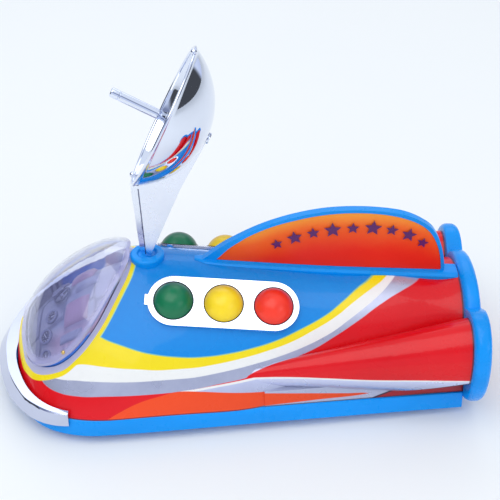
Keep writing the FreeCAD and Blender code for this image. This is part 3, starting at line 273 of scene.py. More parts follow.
def litho_colour(g):
    """The printed stripes of the body as a colour, with painted shade and shadow lines laid on them, and a
    mask of the bare tin in them.
    """
    x, side, z = g.axes()

    # stripes of the upper lobe, each laid over the one before
    blue_low, yellow_low, white_low, silver_low = (
        g.curve(x, points, X_SPAN, Z_SPAN) for points in (BLUE_LOW, YELLOW_LOW, WHITE_LOW, SILVER_LOW))
    silver, white, yellow, blue = (g.above(z, low) for low in (silver_low, white_low, yellow_low, blue_low))
    field = g.mix(g.remap(z, 20, 66), tint(PRINT_BLUE, 1.06), tint(PRINT_BLUE, 0.92))
    rimmed = g.mix(g.above(z, g.math("ADD", blue_low, BLUE_RIM)), RIM_GREEN, field)
    red = g.mix(g.remap(g.noise(14.0, 2.0), 0.3, 0.7), tint(PRINT_RED, 0.92), tint(PRINT_RED, 1.1))
    colour = red
    for mask, ink in ((silver, BARE_TIN), (white, PRINT_WHITE), (yellow, PRINT_YELLOW), (blue, rimmed)):
        colour = g.mix(mask, colour, ink)
    tin = g.both(silver, g.invert(white))

    # side lobes: red above, then a lens of bare tin with a white rim, then orange
    lobe = g.above(side, g.curve(x, LOBE_SIDE, X_SPAN, Z_SPAN))
    colour = g.mix(lobe, colour, red)
    tin = g.both(tin, g.invert(lobe))
    lens_top = g.curve(x, LENS_TOP, X_SPAN, Z_SPAN)
    behind = g.below(x, LENS_END_X, 1.0)
    colour = g.mix(g.both(g.below(z, lens_top), behind), colour, PRINT_WHITE)
    inner = g.both(g.below(z, g.math("SUBTRACT", lens_top, LENS_RIM)), behind)
    # painted reflection: the bare-tin lens is lighter just under its rim and darker lower down
    tin_reflection_fade = g.remap(g.math("SUBTRACT", lens_top, z), 1.0, 8.0)
    colour = g.mix(inner, colour, g.mix(tin_reflection_fade, tint(BARE_TIN, 1.35), tint(BARE_TIN, 0.9)))
    orange = g.both(g.below(z, g.curve(x, ORANGE_TOP, X_SPAN, Z_SPAN)), g.below(x, ORANGE_END_X))
    orange = g.both(orange, g.above(z, g.curve(x, ORANGE_LOW, X_SPAN, Z_SPAN)))
    warm = g.mix(g.remap(x, -66, 50), tint(PRINT_ORANGE, 0.8), PRINT_ORANGE)
    colour = g.mix(orange, colour, warm)
    tin = g.math("MAXIMUM", tin, g.both(inner, g.invert(orange)))

    # the wall set back under the side lobes: a painted shadow line where it meets them, and painted shade
    # darkening its red below
    cut_line = g.curve(x, UNDERCUT, X_SPAN, Z_SPAN)
    lobe_shadow_mask = g.below(z, g.math("ADD", cut_line, 0.5))
    colour = g.mix(lobe_shadow_mask, colour, PAINTED_SHADOW_LINE)
    colour = g.mix(g.below(z, g.math("SUBTRACT", cut_line, 0.2)), colour, SHADED_WALL_RED)
    tin = g.both(tin, g.invert(lobe_shadow_mask))

    # painted shadow: dark lines at the tail, where the ring meets the tin, and along the foot, where the tray
    # meets it
    edge = g.math("MAXIMUM", g.above(TAIL_SHADE_X, x), g.above(FOOT_SHADE_Z, z))
    colour = g.mix(g.both(edge, 0.8), colour, PAINTED_SHADOW_LINE)

    # yellow band round the window, with a green rim where it meets the blue
    off = off_window(g, x, side)
    nose = g.both(g.above(x, NOSE_FROM_X), g.below(x, BAND_END_X))
    band = g.both(g.below(off, BAND_OUT), nose)
    fringe = g.both(g.below(off, BAND_OUT + BAND_RIM), nose)
    colour = g.mix(g.both(fringe, blue), colour, BAND_GREEN)
    colour = g.mix(band, colour, PRINT_YELLOW)
    strip = g.both(g.below(off, BAND_IN - 0.3), nose)
    colour = g.mix(strip, colour, STRIP_GREY)
    return colour, g.both(tin, g.invert(band))


def litho(name):
    """Glossy lithographed tin."""
    g = Graph(name, coat_weight=0.3, coat_roughness=0.05, roughness=0.3)
    g.set("Specular IOR Level", 0.2)
    colour, tin = litho_colour(g)
    mottle = g.noise(420.0, 4.0)
    g.set("Base Color", g.mix(g.remap(mottle, 0.2, 0.8, 0.0, 0.10), colour, (1, 1, 1, 1), "OVERLAY"))
    g.set("Metallic", g.both(tin, 0.5))
    g.set("Roughness", g.remap(g.noise(70.0, 3.0), 0.3, 0.7, 0.22, 0.36))
    g.bump(g.noise(36.0, 2.0), 0.10, 0.0004)
    return g.mat


# ---- mesh helpers -------------------------------------------------------------------
# metres; points nearer than this are one point, in new pieces and in copies of frame nodes
SAME_POINT, WELD = 1e-7, 1e-6
# degrees; sharper edges of a copied node stay hard and are rounded
CREASE = 30.0
# metres; further out than any surface of the toy
RAY_FROM = 0.2


def link(obj):
    bpy.context.scene.collection.objects.link(obj)
    return obj


def make(name, verts, faces, material, smooth=True):
    """Object from points and faces, with its normals outwards."""
    mesh = bpy.data.meshes.new(name)
    mesh.from_pydata([tuple(v) for v in verts], [], faces)
    mesh.validate()
    bm = bmesh.new()
    bm.from_mesh(mesh)
    bmesh.ops.recalc_face_normals(bm, faces=bm.faces)
    bm.to_mesh(mesh)
    bm.free()
    for face in mesh.polygons:
        face.use_smooth = smooth
    mesh.materials.append(material)
    return link(bpy.data.objects.new(name, mesh))


def sharpen(obj, degrees):
    """Mark edges sharper than an angle as hard."""
    obj.data.set_sharp_from_angle(angle=math.radians(degrees))


def soften(obj, width):
    """Round the hard edges of a mesh."""
    bevel = obj.modifiers.new("edge", "BEVEL")
    bevel.width = width
    bevel.segments = 2
    bevel.limit_method = "ANGLE"
    bevel.angle_limit = math.radians(CREASE)
    normals = obj.modifiers.new("normals", "WEIGHTED_NORMAL")
    normals.keep_sharp = False


def copy_of(node, name, material, slot, body, width):
    """A frame node's form as a new piece with rounded edges."""
    mesh = frame["nodes"][node].data.copy()
    mesh.name = name
    bm = bmesh.new()
    bm.from_mesh(mesh)
    bmesh.ops.remove_doubles(bm, verts=bm.verts, dist=WELD)
    bmesh.ops.dissolve_degenerate(bm, edges=bm.edges, dist=SAME_POINT)
    bmesh.ops.recalc_face_normals(bm, faces=bm.faces)
    bm.to_mesh(mesh)
    bm.free()
    for layer in ("custom_normal", "sharp_edge"):
        if layer in mesh.attributes:
            mesh.attributes.remove(mesh.attributes[layer])
    for face in mesh.polygons:
        face.use_smooth = True
    mesh.materials.clear()
    mesh.materials.append(material)
    obj = link(bpy.data.objects.new(name, mesh))
    sharpen(obj, CREASE)
    soften(obj, width)
    finish_piece(obj, body, slot, node)


def basis(axis):
    """Two directions square to an axis."""
    axis = Vector(axis).normalized()
    helper = Vector((0, 1, 0)) if abs(axis.y) < 0.9 else Vector((1, 0, 0))
    u = axis.cross(helper).normalized()
    return u, axis.cross(u)


def around(u, v, angle):
    """Direction at an angle in the plane of u and v."""
    return u * math.cos(angle) + v * math.sin(angle)


def tube_faces(rings, segments, closed):
    """Quads between rings of points; closed joins the last ring to the first."""
    faces = []
    for i in range(rings if closed else rings - 1):
        j = (i + 1) % rings
        for k in range(segments):
            m = (k + 1) % segments
            faces.append((i * segments + k, i * segments + m, j * segments + m, j * segments + k))
    return faces


def lathe(name, profile, centre, axis, material, segments, closed=True):
    """Turned form. Profile points are (radius, height along the axis)."""
    axis = Vector(axis).normalized()
    u, v = basis(axis)
    centre = Vector(centre)
    verts = []
    for r, h in profile:
        for k in range(segments):
            verts.append(centre + axis * h + around(u, v, 2 * math.pi * k / segments) * r)
    obj = make(name, verts, tube_faces(len(profile), segments, closed), material)
    merge(obj)
    return obj


def merge(obj):
    """Join points that fall together."""
    bm = bmesh.new()
    bm.from_mesh(obj.data)
    bmesh.ops.remove_doubles(bm, verts=bm.verts, dist=SAME_POINT)
    bmesh.ops.dissolve_degenerate(bm, edges=bm.edges, dist=SAME_POINT)
    bm.to_mesh(obj.data)
    bm.free()


def arc(cr, ch, radius, start, end, steps):
    """Points (r, h) on an arc about (cr, ch)."""
    points = []
    for i in range(steps + 1):
        a = math.radians(start + (end - start) * i / steps)
        points.append((cr + radius * math.cos(a), ch + radius * math.sin(a)))
    return points


def in_metres(profile):
    """Profile points from millimetres to metres."""
    return [(a * MM, b * MM) for a, b in profile]


def mid(node):
    """Middle of a frame node's box."""
    low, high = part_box(node)
    return (low + high) / 2


def tree_of(node):
    """Ray-casting tree of a frame node."""
    mesh = frame["nodes"][node].data
    corners = [vertex.co.copy() for vertex in mesh.vertices]
    return BVHTree.FromPolygons(corners, [tuple(face.vertices) for face in mesh.polygons])


def drop(tree, x, y):
    """Point and normal where a vertical ray meets a node from above."""
    place, normal, _, _ = tree.ray_cast(Vector((x, y, RAY_FROM)), Vector((0, 0, -1)))
    if normal.z < 0:
        normal = -normal
    return place, normal


def finish_piece(obj, body, slot, *nodes):
    """Body and, where there are any, the frame nodes that the piece stands for; the material slot is not
    used.
    """
    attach(obj, body)
    if nodes:
        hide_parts(*nodes)


# ---- materials ----------------------------------------------------------------------
def clear_plastic():
    """Thin clear bubble with a milky foot; lamps reach what is behind it."""
    g = Graph("clear_plastic_blown", transmission_weight=1.0, ior=1.5, roughness=0.015, coat_weight=0.6)
    x, side, _ = g.axes()
    haze = g.remap(g.noise(40.0, 3.0), 0.3, 0.7, 0.0, 0.5)
    g.set("Base Color", g.mix(haze, (0.88, 0.90, 0.98, 1), (0.80, 0.82, 0.95, 1)))
    g.bump(g.noise(30.0, 2.0), 0.05, 0.0003)
    foot = g.node("ShaderNodeBsdfPrincipled")
    foot.inputs["Base Color"].default_value = (0.42, 0.42, 0.68, 1)
    foot.inputs["Roughness"].default_value = 0.12
    foot.inputs["Coat Weight"].default_value = 0.8
    rim = g.node("ShaderNodeMixShader")
    g.put(rim.inputs[0], g.remap(off_window(g, x, side), -3.6, -0.6, 0.10, 0.72, smooth=True))
    g.put(rim.inputs[1], g.shader.outputs[0])
    g.put(rim.inputs[2], foot.outputs[0])
    light = g.node("ShaderNodeLightPath")
    through = g.node("ShaderNodeBsdfTransparent")
    through.inputs[0].default_value = (0.90, 0.92, 0.97, 1)
    blend = g.node("ShaderNodeMixShader")
    g.put(blend.inputs[0], light.outputs["Is Shadow Ray"])
    g.put(blend.inputs[1], rim.outputs[0])
    g.put(blend.inputs[2], through.outputs[0])
    g.put(g.out.inputs["Surface"], blend.outputs[0])
    return g.mat


def rubber():
    """Matt tyre rubber with dust in its grain."""
    g = Graph("rubber_moulded", roughness=0.75)
    dust = g.noise(220.0, 5.0, 0.65)
    g.set("Base Color", g.mix(g.remap(dust, 0.45, 0.75), (0.014, 0.014, 0.015, 1), (0.06, 0.058, 0.055, 1)))
    g.set("Roughness", g.remap(dust, 0.3, 0.7, 0.62, 0.88))
    g.bump(g.noise(1400.0, 3.0), 0.35, 0.0001)
    return g.mat


def fibre():
    """Pressed fibre board with long flecks."""
    g = Graph("fibre_board", roughness=0.8)
    fleck = g.noise(1500.0, 6.0, 0.7, (1.0, 0.3, 1.0))
    g.set("Base Color", g.mix(g.remap(fleck, 0.3, 0.7), (0.16, 0.08, 0.035, 1), (0.33, 0.19, 0.09, 1)))
    g.bump(fleck, 0.4, 0.0001)
    return g.mat


def lens(name, colour, edge_shade_colour):
    """Coloured dome with painted shade, deeper where it is seen edge-on, and a soft skin."""
    g = Graph(name, roughness=0.34, coat_weight=0.35, coat_roughness=0.22)
    g.set("Specular IOR Level", 0.3)
    # painted shade: toward the dome's outline, where it is seen edge-on, the colour turns to the darker one
    facing = g.node("ShaderNodeLayerWeight")
    facing.inputs["Blend"].default_value = 0.35
    shade = g.remap(facing.outputs["Facing"], 0.15, 0.85)
    cloud = g.remap(g.noise(160.0, 3.0), 0.3, 0.7, 0.0, 0.25)
    g.set("Base Color", g.mix(g.math("ADD", shade, cloud, clamp=True), colour, edge_shade_colour))
    g.bump(g.noise(500.0, 2.0), 0.05, 0.00008)
    return g.mat


# where the dark sleeve of a cell ends, in millimetres
WRAP_END_X = -27.0


def cell_wrap():
    """Dark sleeve of a cell with a copper end."""
    g = Graph("cell_wrap_print", metallic=0.6, roughness=0.3)
    x, _, _ = g.axes()
    band = g.above(x, WRAP_END_X)
    worn = g.remap(g.noise(300.0, 4.0), 0.5, 0.8, 0.0, 0.2)
    sleeve = g.mix(band, (0.02, 0.02, 0.022, 1), (0.62, 0.33, 0.08, 1))
    g.set("Base Color", g.mix(worn, sleeve, (0.4, 0.4, 0.4, 1)))
    g.bump(g.noise(900.0), 0.05, 0.00005)
    return g.mat


# line on the fin where red turns to orange
FIN_BOW = ((-110, 62), (-95, 70), (-75, 74), (-50, 74.5), (-25, 70), (-8, 64), (20, 62))


def fin_print():
    """Printed insert of the fin: orange above, red below, with a grained ink."""
    g = Graph("fin_insert_print", coat_weight=0.12, coat_roughness=0.12, roughness=0.4)
    g.set("Specular IOR Level", 0.15)
    x, _, z = g.axes()
    bow = g.curve(x, FIN_BOW, X_SPAN, (40.0, 100.0))
    rise = g.math("SUBTRACT", z, bow)
    warm = g.remap(g.math("ADD", rise, g.remap(g.noise(60.0), 0.3, 0.7, -1.2, 1.2)), -9.0, 13.0, smooth=True)
    top = g.remap(rise, 6.0, 17.0, smooth=True)
    colour = g.mix(warm, (0.84, 0.022, 0.010, 1), (0.93, 0.14, 0.018, 1))
    colour = g.mix(top, colour, (0.96, 0.38, 0.05, 1))
    grain = g.remap(g.noise(900.0, 3.0), 0.3, 0.7, 0.0, 0.10)
    g.set("Base Color", g.mix(grain, colour, (1, 0.8, 0.5, 1), "OVERLAY"))
    g.bump(g.noise(40.0, 2.0), 0.08, 0.0003)
    return g.mat


# cockpit floor, in millimetres: height where it turns pale, and the side and nose limits of two colours
PALE_Z = 33.0
PINK_SIDE, PINK_END_X = 20.0, 88.0
EDGE_SIDE, EDGE_END_X = 31.5, 92.0


def cockpit_print():
    """Grey and lavender floor print with seams and coloured edges."""
    g = Graph("cockpit_floor_print", coat_weight=0.4, coat_roughness=0.15, roughness=0.35)
    x, side, z = g.axes()
    panels = g.node("ShaderNodeTexVoronoi", feature="DISTANCE_TO_EDGE")
    mapping = g.node("ShaderNodeMapping")
    g.put(mapping.inputs["Vector"], g.place())
    mapping.inputs["Scale"].default_value = (70.0, 45.0, 20.0)
    g.put(panels.inputs["Vector"], mapping.outputs[0])
    panels.inputs["Scale"].default_value = 1.0
    panels.inputs["Randomness"].default_value = 0.35
    seam = g.invert(g.remap(panels.outputs["Distance"], 0.02, 0.06))
    tone = g.mix(g.remap(g.noise(60.0, 3.0), 0.35, 0.7), (0.17, 0.18, 0.34, 1), (0.36, 0.37, 0.55, 1))
    tone = g.mix(g.above(z, PALE_Z, 5.0), g.mix(0.5, tone, (0.70, 0.71, 0.80, 1)), tone)
    colour = g.mix(g.both(seam, 0.75), tone, (0.10, 0.11, 0.22, 1))
    pink = g.both(g.above(side, PINK_SIDE, 3.0), g.below(x, PINK_END_X, 4.0))
    colour = g.mix(g.both(pink, 0.55), colour, (0.60, 0.36, 0.50, 1))
    blue = g.both(g.above(side, EDGE_SIDE, 0.6), g.below(x, EDGE_END_X, 1.0))
    colour = g.mix(blue, colour, (0.05, 0.20, 0.70, 1))
    g.set("Base Color", colour)
    g.bump(seam, 0.4, 0.0003)
    return g.mat


# middles (|y|, z) and radii of the nozzles, in millimetres
NOZZLES = ((0.0, 34.0, 12.5), (35.6, 33.5, 8.0))


def nozzle_print():
    """Tail plate print: red field, each nozzle glowing from yellow to dark."""
    g = Graph("tail_plate_print", coat_weight=0.7, coat_roughness=0.08, roughness=0.34)
    _, side, z = g.axes()
    colour = g.mix(g.remap(g.noise(30.0), 0.3, 0.7), tint(PRINT_RED, 0.75), PRINT_RED)
    for cy, cz, r in NOZZLES:
        dy, dz = g.math("SUBTRACT", side, cy), g.math("SUBTRACT", z, cz)
        far = g.math("SQRT", g.math("ADD", g.math("MULTIPLY", dy, dy), g.math("MULTIPLY", dz, dz)))
        glow = g.mix(g.remap(far, 0.0, r), PRINT_YELLOW, PRINT_ORANGE)
        colour = g.mix(g.below(far, r + 1.4), colour, BARE_TIN)
        colour = g.mix(g.below(far, r - 0.4), colour, glow)
    g.set("Base Color", colour)
    g.bump(g.noise(50.0), 0.08, 0.0003)
    return g.mat


# the record's material slots, and three more platings for reshaped pieces: a satin one, and a darker and a
# lighter copy of the chrome that paint shade into the bumper and light into the bezels
MATS = {
    "litho_tin": litho("litho_tin_print"),
    "blue_plastic": plastic("blue_plastic_moulded", AZURE, 0.28, 0.10, 0.15),
    "chrome": metal("chrome_plate", (0.78, 0.82, 0.93, 1), 0.045, 0.04),
    "satin_plate": metal("satin_plate", (0.86, 0.89, 1.0, 1), 0.30, 0.04),
    # painted shade and light: a darker copy of the chrome for the bumper and a lighter one for the bezels
    "shaded_chrome_plate": metal("shaded_chrome_plate", (0.60, 0.63, 0.78, 1), 0.06, 0.04),
    "lit_chrome_plate": metal("lit_chrome_plate", (0.86, 0.88, 0.96, 1), 0.17, 0.04),
    "steel": metal("steel_drawn", (0.55, 0.56, 0.58, 1), 0.22, 0.15, (1.0, 9.0, 1.0)),
    "brass": metal("brass_strip", (0.72, 0.50, 0.18, 1), 0.20, 0.12),
    "black_plastic": plastic("black_plastic_moulded", (0.018, 0.018, 0.020, 1), 0.42, 0.25, 0.0),
    "white_plastic": plastic("white_plastic_moulded", (0.72, 0.71, 0.66, 1), 0.38, 0.12, 0.0),
    "clear_plastic": clear_plastic(),
    "rubber": rubber(),
    "fibre": fibre(),
    # each lens: its colour, then its painted shade colour toward the outline
    "lens_green": lens("lens_green_dome", (0.0, 0.19, 0.075, 1), (0.0, 0.085, 0.035, 1)),
    "lens_yellow": lens("lens_yellow_dome", (1.0, 0.74, 0.015, 1), (0.70, 0.42, 0.006, 1)),
    "lens_red": lens("lens_red_dome", (1.0, 0.045, 0.018, 1), (0.66, 0.012, 0.010, 1)),
    "cell_wrap": cell_wrap(),
    "fin_print": fin_print(),
    "cockpit_print": cockpit_print(),
    "glass_bulb": plastic("bulb_glass_frosted", (0.70, 0.68, 0.60, 1), 0.12, 0.02, 0.6),
}
TAIL_PLATE = nozzle_print()
STAR_INK = plastic("violet_ink", (0.10, 0.012, 0.13, 1), 0.35, 0.05, 0.4)


def dress_frame():
    """Give every node of the frame its material."""
    for name, obj in frame["nodes"].items():
        for slot in obj.material_slots:
            slot.material = TAIL_PLATE if name == "tail_plate" else MATS[slot.material.name.split(".")[0]]


dress_frame()


# ---- replaced pieces ----------------------------------------------------------------
# node, new piece, material, record's slot, body, roundness of its edges in millimetres
RESHAPED = (("base_tray", "tray_moulding", "blue_plastic", "blue_plastic", "hull", 0.35),
            ("nose_bumper", "bumper_band", "shaded_chrome_plate", "chrome", "hull", 0.45),
            ("fin_frame", "fin_moulding", "blue_plastic", "blue_plastic", "hull", 0.45),
            ("lamp_bezel_left", "bezel_left", "lit_chrome_plate", "chrome", "hull", 0.35),
            ("lamp_bezel_right", "bezel_right", "lit_chrome_plate", "chrome", "hull", 0.35),
            ("antenna_mast", "mast_gusset", "satin_plate", "chrome", "antenna", 0.18))
for node, name, key, slot, body, width in RESHAPED:
    copy_of(node, name, MATS[key], slot, body, width * MM)


# the tail ring: height of the point its spokes start from, radius of its round edges, and how many
# spokes it has and steps to a round edge
RING_MIDDLE_Z = 34 * MM
RING_SOFT = 3.1 * MM
RING_SPOKES, RING_STEPS = 400, 7
# degrees; where the ring may end, and how far short of its end the last spoke stands
RING_END, RING_END_GAP = (220.0, 230.0), 0.05


def tail_ring():
    """The three-lobed ring with a round section, on the outline of the frame's ring; open below."""
    tree = tree_of("tail_ring")
    low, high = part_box("tail_ring")
    middle = Vector(((low.x + high.x) / 2, 0, RING_MIDDLE_Z))

    def spoke(degrees):
        return Vector((0, math.cos(math.radians(degrees)), math.sin(math.radians(degrees))))

    # halving finds where the ring ends
    lowest, open_at = RING_END
    for _ in range(16):
        half_way = (lowest + open_at) / 2
        if tree.ray_cast(middle, spoke(half_way))[0] is None:
            open_at = half_way
        else:
            lowest = half_way
    lowest -= RING_END_GAP
    size = 2 * (RING_STEPS + 1) + 2
    turns = [math.pi / 2 * i / RING_STEPS for i in range(RING_STEPS + 1)]
    verts, faces = [], []
    for k in range(RING_SPOKES + 1):
        out = spoke(180 - lowest + (2 * lowest - 180) * k / RING_SPOKES)
        outer = (tree.ray_cast(middle + out * RAY_FROM, -out)[0] - middle).length
        inner = (tree.ray_cast(middle, out)[0] - middle).length
        soft = min(RING_SOFT, (outer - inner) * 0.8)
        front = [(high.x - soft * (1 - math.cos(t)), outer - soft * (1 - math.sin(t))) for t in turns]
        rear = [(low.x + soft * (1 - math.cos(t)), outer - soft * (1 - math.sin(t))) for t in reversed(turns)]
        for x, r in [(high.x, inner)] + front + rear + [(low.x, inner)]:
            verts.append(Vector((x, 0, RING_MIDDLE_Z)) + out * r)
    for k in range(RING_SPOKES):
        for i in range(size):
            j = (i + 1) % size
            faces.append((k * size + i, (k + 1) * size + i, (k + 1) * size + j, k * size + j))
    faces.append(tuple(range(size)))
    faces.append(tuple(RING_SPOKES * size + i for i in range(size)))
    obj = make("tail_ring_moulding", verts, faces, MATS["blue_plastic"])
    sharpen(obj, 48)
    finish_piece(obj, "hull", "blue_plastic", "tail_ring")


tail_ring()

# the collar's radii at its bore and neck, in millimetres
COLLAR_BORE, COLLAR_NECK = 1.56, 2.9


def grommet():
    """Moulded collar of the mast, with a rolled top edge."""
    low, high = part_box("antenna_grommet")
    middle = mid("antenna_grommet")
    foot, top, r = (low.z - middle.z) / MM, (high.z - middle.z) / MM, (high.x - low.x) / 2 / MM
    profile = [(COLLAR_BORE, foot), (COLLAR_NECK, foot), (COLLAR_NECK, top - 6), (r - 0.3, top - 5.6)]
    profile += arc(r - 1.3, top - 1.6, 1.3, -10, 95, 8) + arc(r - 3.0, top - 0.9, 0.9, 80, 170, 5)
    profile += [(4.3, top - 1.1), (4.0, top - 1.3), (COLLAR_NECK, top - 1.2), (2.6, top - 1.0),
                (COLLAR_BORE, top - 1.0)]
    obj = lathe("mast_collar", in_metres(profile), middle, (0, 0, 1), MATS["blue_plastic"], 96)
    sharpen(obj, 50)
    finish_piece(obj, "hull", "blue_plastic", "antenna_grommet")


grommet()

# painted shade: dark rings laid in the gaps between the lenses and their bezels, where only shade falls
GAP_SHADE = plastic("gasket_black", (0.020, 0.018, 0.035, 1), 0.45, 0.1, 0.0)
GAP_SHADE_PROFILE = in_metres(arc(9.38, 0.0, 0.24, 0, 330, 11))
# the row of lamps: its middle in millimetres, its pitch and tilt, and the distance between lenses
LAMP_MIDDLE = Vector((3.0, 23.3, 53.2))
LAMP_TURN = Matrix.Rotation(math.radians(-4.76), 3, "Y") @ Matrix.Rotation(math.radians(-33.0), 3, "X")
LAMP_STEP = 23.78


def gap_shade_ring(word, side, colour, along):
    """Dark ring of painted shade in the gap between one lens and its bezel; along is its distance from the
    middle lens.
    """
    place = LAMP_MIDDLE + LAMP_TURN @ Vector((along, 0, 0.02))
    axis = LAMP_TURN @ Vector((0, 0, 1))
    place.y, axis.y = side * place.y, side * axis.y
    ring = lathe("gasket_%s_%s" % (colour, word), GAP_SHADE_PROFILE, place * MM, axis, GAP_SHADE, 72)
    finish_piece(ring, "hull", "black_plastic")


for word, side in SIDES:
    for colour, steps in (("green", 1), ("yellow", 0), ("red", -1)):
        gap_shade_ring(word, side, colour, steps * LAMP_STEP)


# ---- radar dish ---------------------------------------------------------------------
TILT = math.radians(27.2)
TURN = Matrix.Rotation(math.radians(-3.9), 3, "Z")
SHAFT = Vector((40.4, 0, 0)) * MM
DISH_AXIS = TURN @ Vector((math.cos(TILT), 0, math.sin(TILT)))
DISH_UP = TURN @ Vector((-math.sin(TILT), 0, math.cos(TILT)))
DISH_MIDDLE = SHAFT + TURN @ (Vector((27.8, 0, 139.6)) * MM - SHAFT)
DISH_R, DISH_DEPTH, DISH_SHEET = 33.3 * MM, 21.2 * MM, 0.8 * MM
DISH_BORE, DISH_STEPS = 1.21 * MM, 40
NUB_R, NUB_POLE = 1.45 * MM, 0.0005 * MM
# painted shade: dark metal beads along the mast's folded edges stand in for the shade on the folds
FOLD_SHADE = metal("mast_fold_shade_steel", (0.10, 0.11, 0.22, 1), 0.3, 0.1)
FOLD_SHADE_R, FOLD_SHADE_SIDES, FOLD_SHADE_ROWS = 0.26 * MM, 8, 24
ROD_R = 2.25
# (radius, distance along) in millimetres: rivet behind the dish, flange, stem, collar, groove, tip
ROD_PROFILE = ([(0.01, -2.0), (2.5, -2.0), (2.6, -1.8), (2.6, -1.1), (1.15, -1.1), (1.15, 0.5), (3.5, 0.5),
                (3.4, 0.9), (2.4, 2.5), (ROD_R, 3.0), (ROD_R, 17.5), (2.7, 17.6), (2.7, 19.4), (ROD_R, 19.5),
                (ROD_R, 40.6), (ROD_R - 0.18, 40.8), (ROD_R - 0.18, 41.2), (ROD_R, 41.4)]
               + arc(ROD_R - 0.8, 44.35, 0.8, 0, 80, 6) + [(0.8, 45.0), (0.6, 44.5), (0.01, 44.3)])


def dish():
    """Bowl of sheet metal with a rolled lip and a bore for the rod."""
    ball = (DISH_R ** 2 + DISH_DEPTH ** 2) / (2 * DISH_DEPTH)
    half = math.degrees(math.asin(DISH_R / ball))

    def cap(radius):
        points = []
        for i in range(DISH_STEPS + 1):
            a = math.radians(half * i / DISH_STEPS)
            points.append((max(DISH_BORE, radius * math.sin(a)), ball - DISH_DEPTH - radius * math.cos(a)))
        return points

    back, front = cap(ball), cap(ball - DISH_SHEET)
    lip = arc(DISH_R - 0.4 * MM, 0.0, 0.78 * MM, -60, 200, 12)
    profile = back[:-1] + lip + front[-2::-1]
    obj = lathe("dish_bowl", profile, DISH_MIDDLE, DISH_AXIS, MATS["chrome"], 144)
    finish_piece(obj, "antenna", "chrome", "antenna_dish")


def dish_nub(name, sign):
    """Small rounded stud on the dish's lip."""
    centre = DISH_MIDDLE + DISH_UP * (sign * (DISH_R + 0.3 * MM)) + DISH_AXIS * 0.6 * MM
    profile = [(NUB_POLE, -NUB_R)] + arc(0, 0, NUB_R, -70, 70, 10) + [(NUB_POLE, NUB_R)]
    nub = lathe(name, profile, centre, DISH_UP, MATS["chrome"], 32)
    finish_piece(nub, "antenna", "chrome")


def rod():
    """Turned stem with grooves, a flared foot and a stepped tip."""
    start = DISH_MIDDLE - DISH_AXIS * (DISH_DEPTH - DISH_SHEET - 0.02 * MM)
    obj = lathe("dish_rod", in_metres(ROD_PROFILE), start, DISH_AXIS, MATS["chrome"], 48, False)
    sharpen(obj, 35)
    finish_piece(obj, "antenna", "chrome", "antenna_feed_rod")


def fold(name, low, high):
    """Thin, slightly uneven dark bead of painted shade along one folded edge of the mast."""
    low, high = (SHAFT + TURN @ (Vector(p) * MM - SHAFT) for p in (low, high))
    u, v = basis((high - low).normalized())
    verts = []
    for i in range(FOLD_SHADE_ROWS + 1):
        r = FOLD_SHADE_R * (1.0 + 0.12 * math.sin(i * 2.1))
        for k in range(FOLD_SHADE_SIDES):
            out = around(u, v, 2 * math.pi * k / FOLD_SHADE_SIDES)
            verts.append(low + (high - low) * (i / FOLD_SHADE_ROWS) + out * r)
    faces = tube_faces(FOLD_SHADE_ROWS + 1, FOLD_SHADE_SIDES, False)
    faces += [tuple(range(FOLD_SHADE_SIDES)), tuple(FOLD_SHADE_ROWS * FOLD_SHADE_SIDES + k for k in range(FOLD_SHADE_SIDES))]
    finish_piece(make(name, verts, faces, FOLD_SHADE), "antenna", "steel")


for word, side in SIDES:
    fold("mast_fold_shade_" + word, (40.45, side * 2.5, 67.4), (40.9, side * 4.38, 104.9))
dish()
dish_nub("dish_nub_top", 1)
dish_nub("dish_nub_low", -1)
rod()


# ---- fin print ----------------------------------------------------------------------
# middles of the stars along the insert's arch, and their sizes
STAR_ROW = ((-22.5, 72.4, 3.0), (-31.0, 76.0, 3.9), (-39.8, 78.6, 3.2), (-49.0, 80.3, 4.3),
            (-58.6, 81.2, 3.2), (-68.2, 81.3, 4.3), (-77.3, 80.0, 3.2), (-85.6, 77.2, 3.9),
            (-92.6, 72.6, 3.0))
INSERT_Y = 2.4
STAR_WAIST = 0.45
# the stars lean with the arch: degrees for each millimetre from its middle
ARCH_MIDDLE_X, ARCH_LEAN = -57.0, 0.45


def star(name, x, z, size, side, turn):
    """Thin five-pointed star of ink on the insert."""
    points = []
    for k in range(10):
        a = math.radians(turn + 90 + 36 * k)
        r = size if k % 2 == 0 else size * STAR_WAIST
        points.append((x + r * math.cos(a), z + r * math.sin(a)))
    near, far = side * (INSERT_Y + 0.005), side * (INSERT_Y + 0.06)
    verts = [Vector((px, y, pz)) * MM for y in (near, far) for px, pz in points]
    verts += [Vector((x, near, z)) * MM, Vector((x, far, z)) * MM]
    faces = []
    for k in range(10):
        m = (k + 1) % 10
        faces += [(k, m, 10 + m, 10 + k), (20, m, k), (21, 10 + k, 10 + m)]
    return make(name, verts, faces, STAR_INK, False)


def join(name, parts):
    """One piece from several."""
    bm = bmesh.new()
    for obj in parts:
        bm.from_mesh(obj.data)
    mesh = bpy.data.meshes.new(name)
    bm.to_mesh(mesh)
    bm.free()
    for material in parts[0].data.materials:
        mesh.materials.append(material)
    smooth = parts[0].data.polygons[0].use_smooth
    for face in mesh.polygons:
        face.use_smooth = smooth
    joined = link(bpy.data.objects.new(name, mesh))
    for obj in parts:
        bpy.data.objects.remove(obj)
    return joined


for word, side in SIDES:
    row = []
    for index, (x, z, size) in enumerate(STAR_ROW):
        slope = (x - ARCH_MIDDLE_X) * ARCH_LEAN
        row.append(star("star_%d" % index, x, z, size, side, -slope))
    finish_piece(join("fin_stars_" + word, row), "hull", "fin_print")


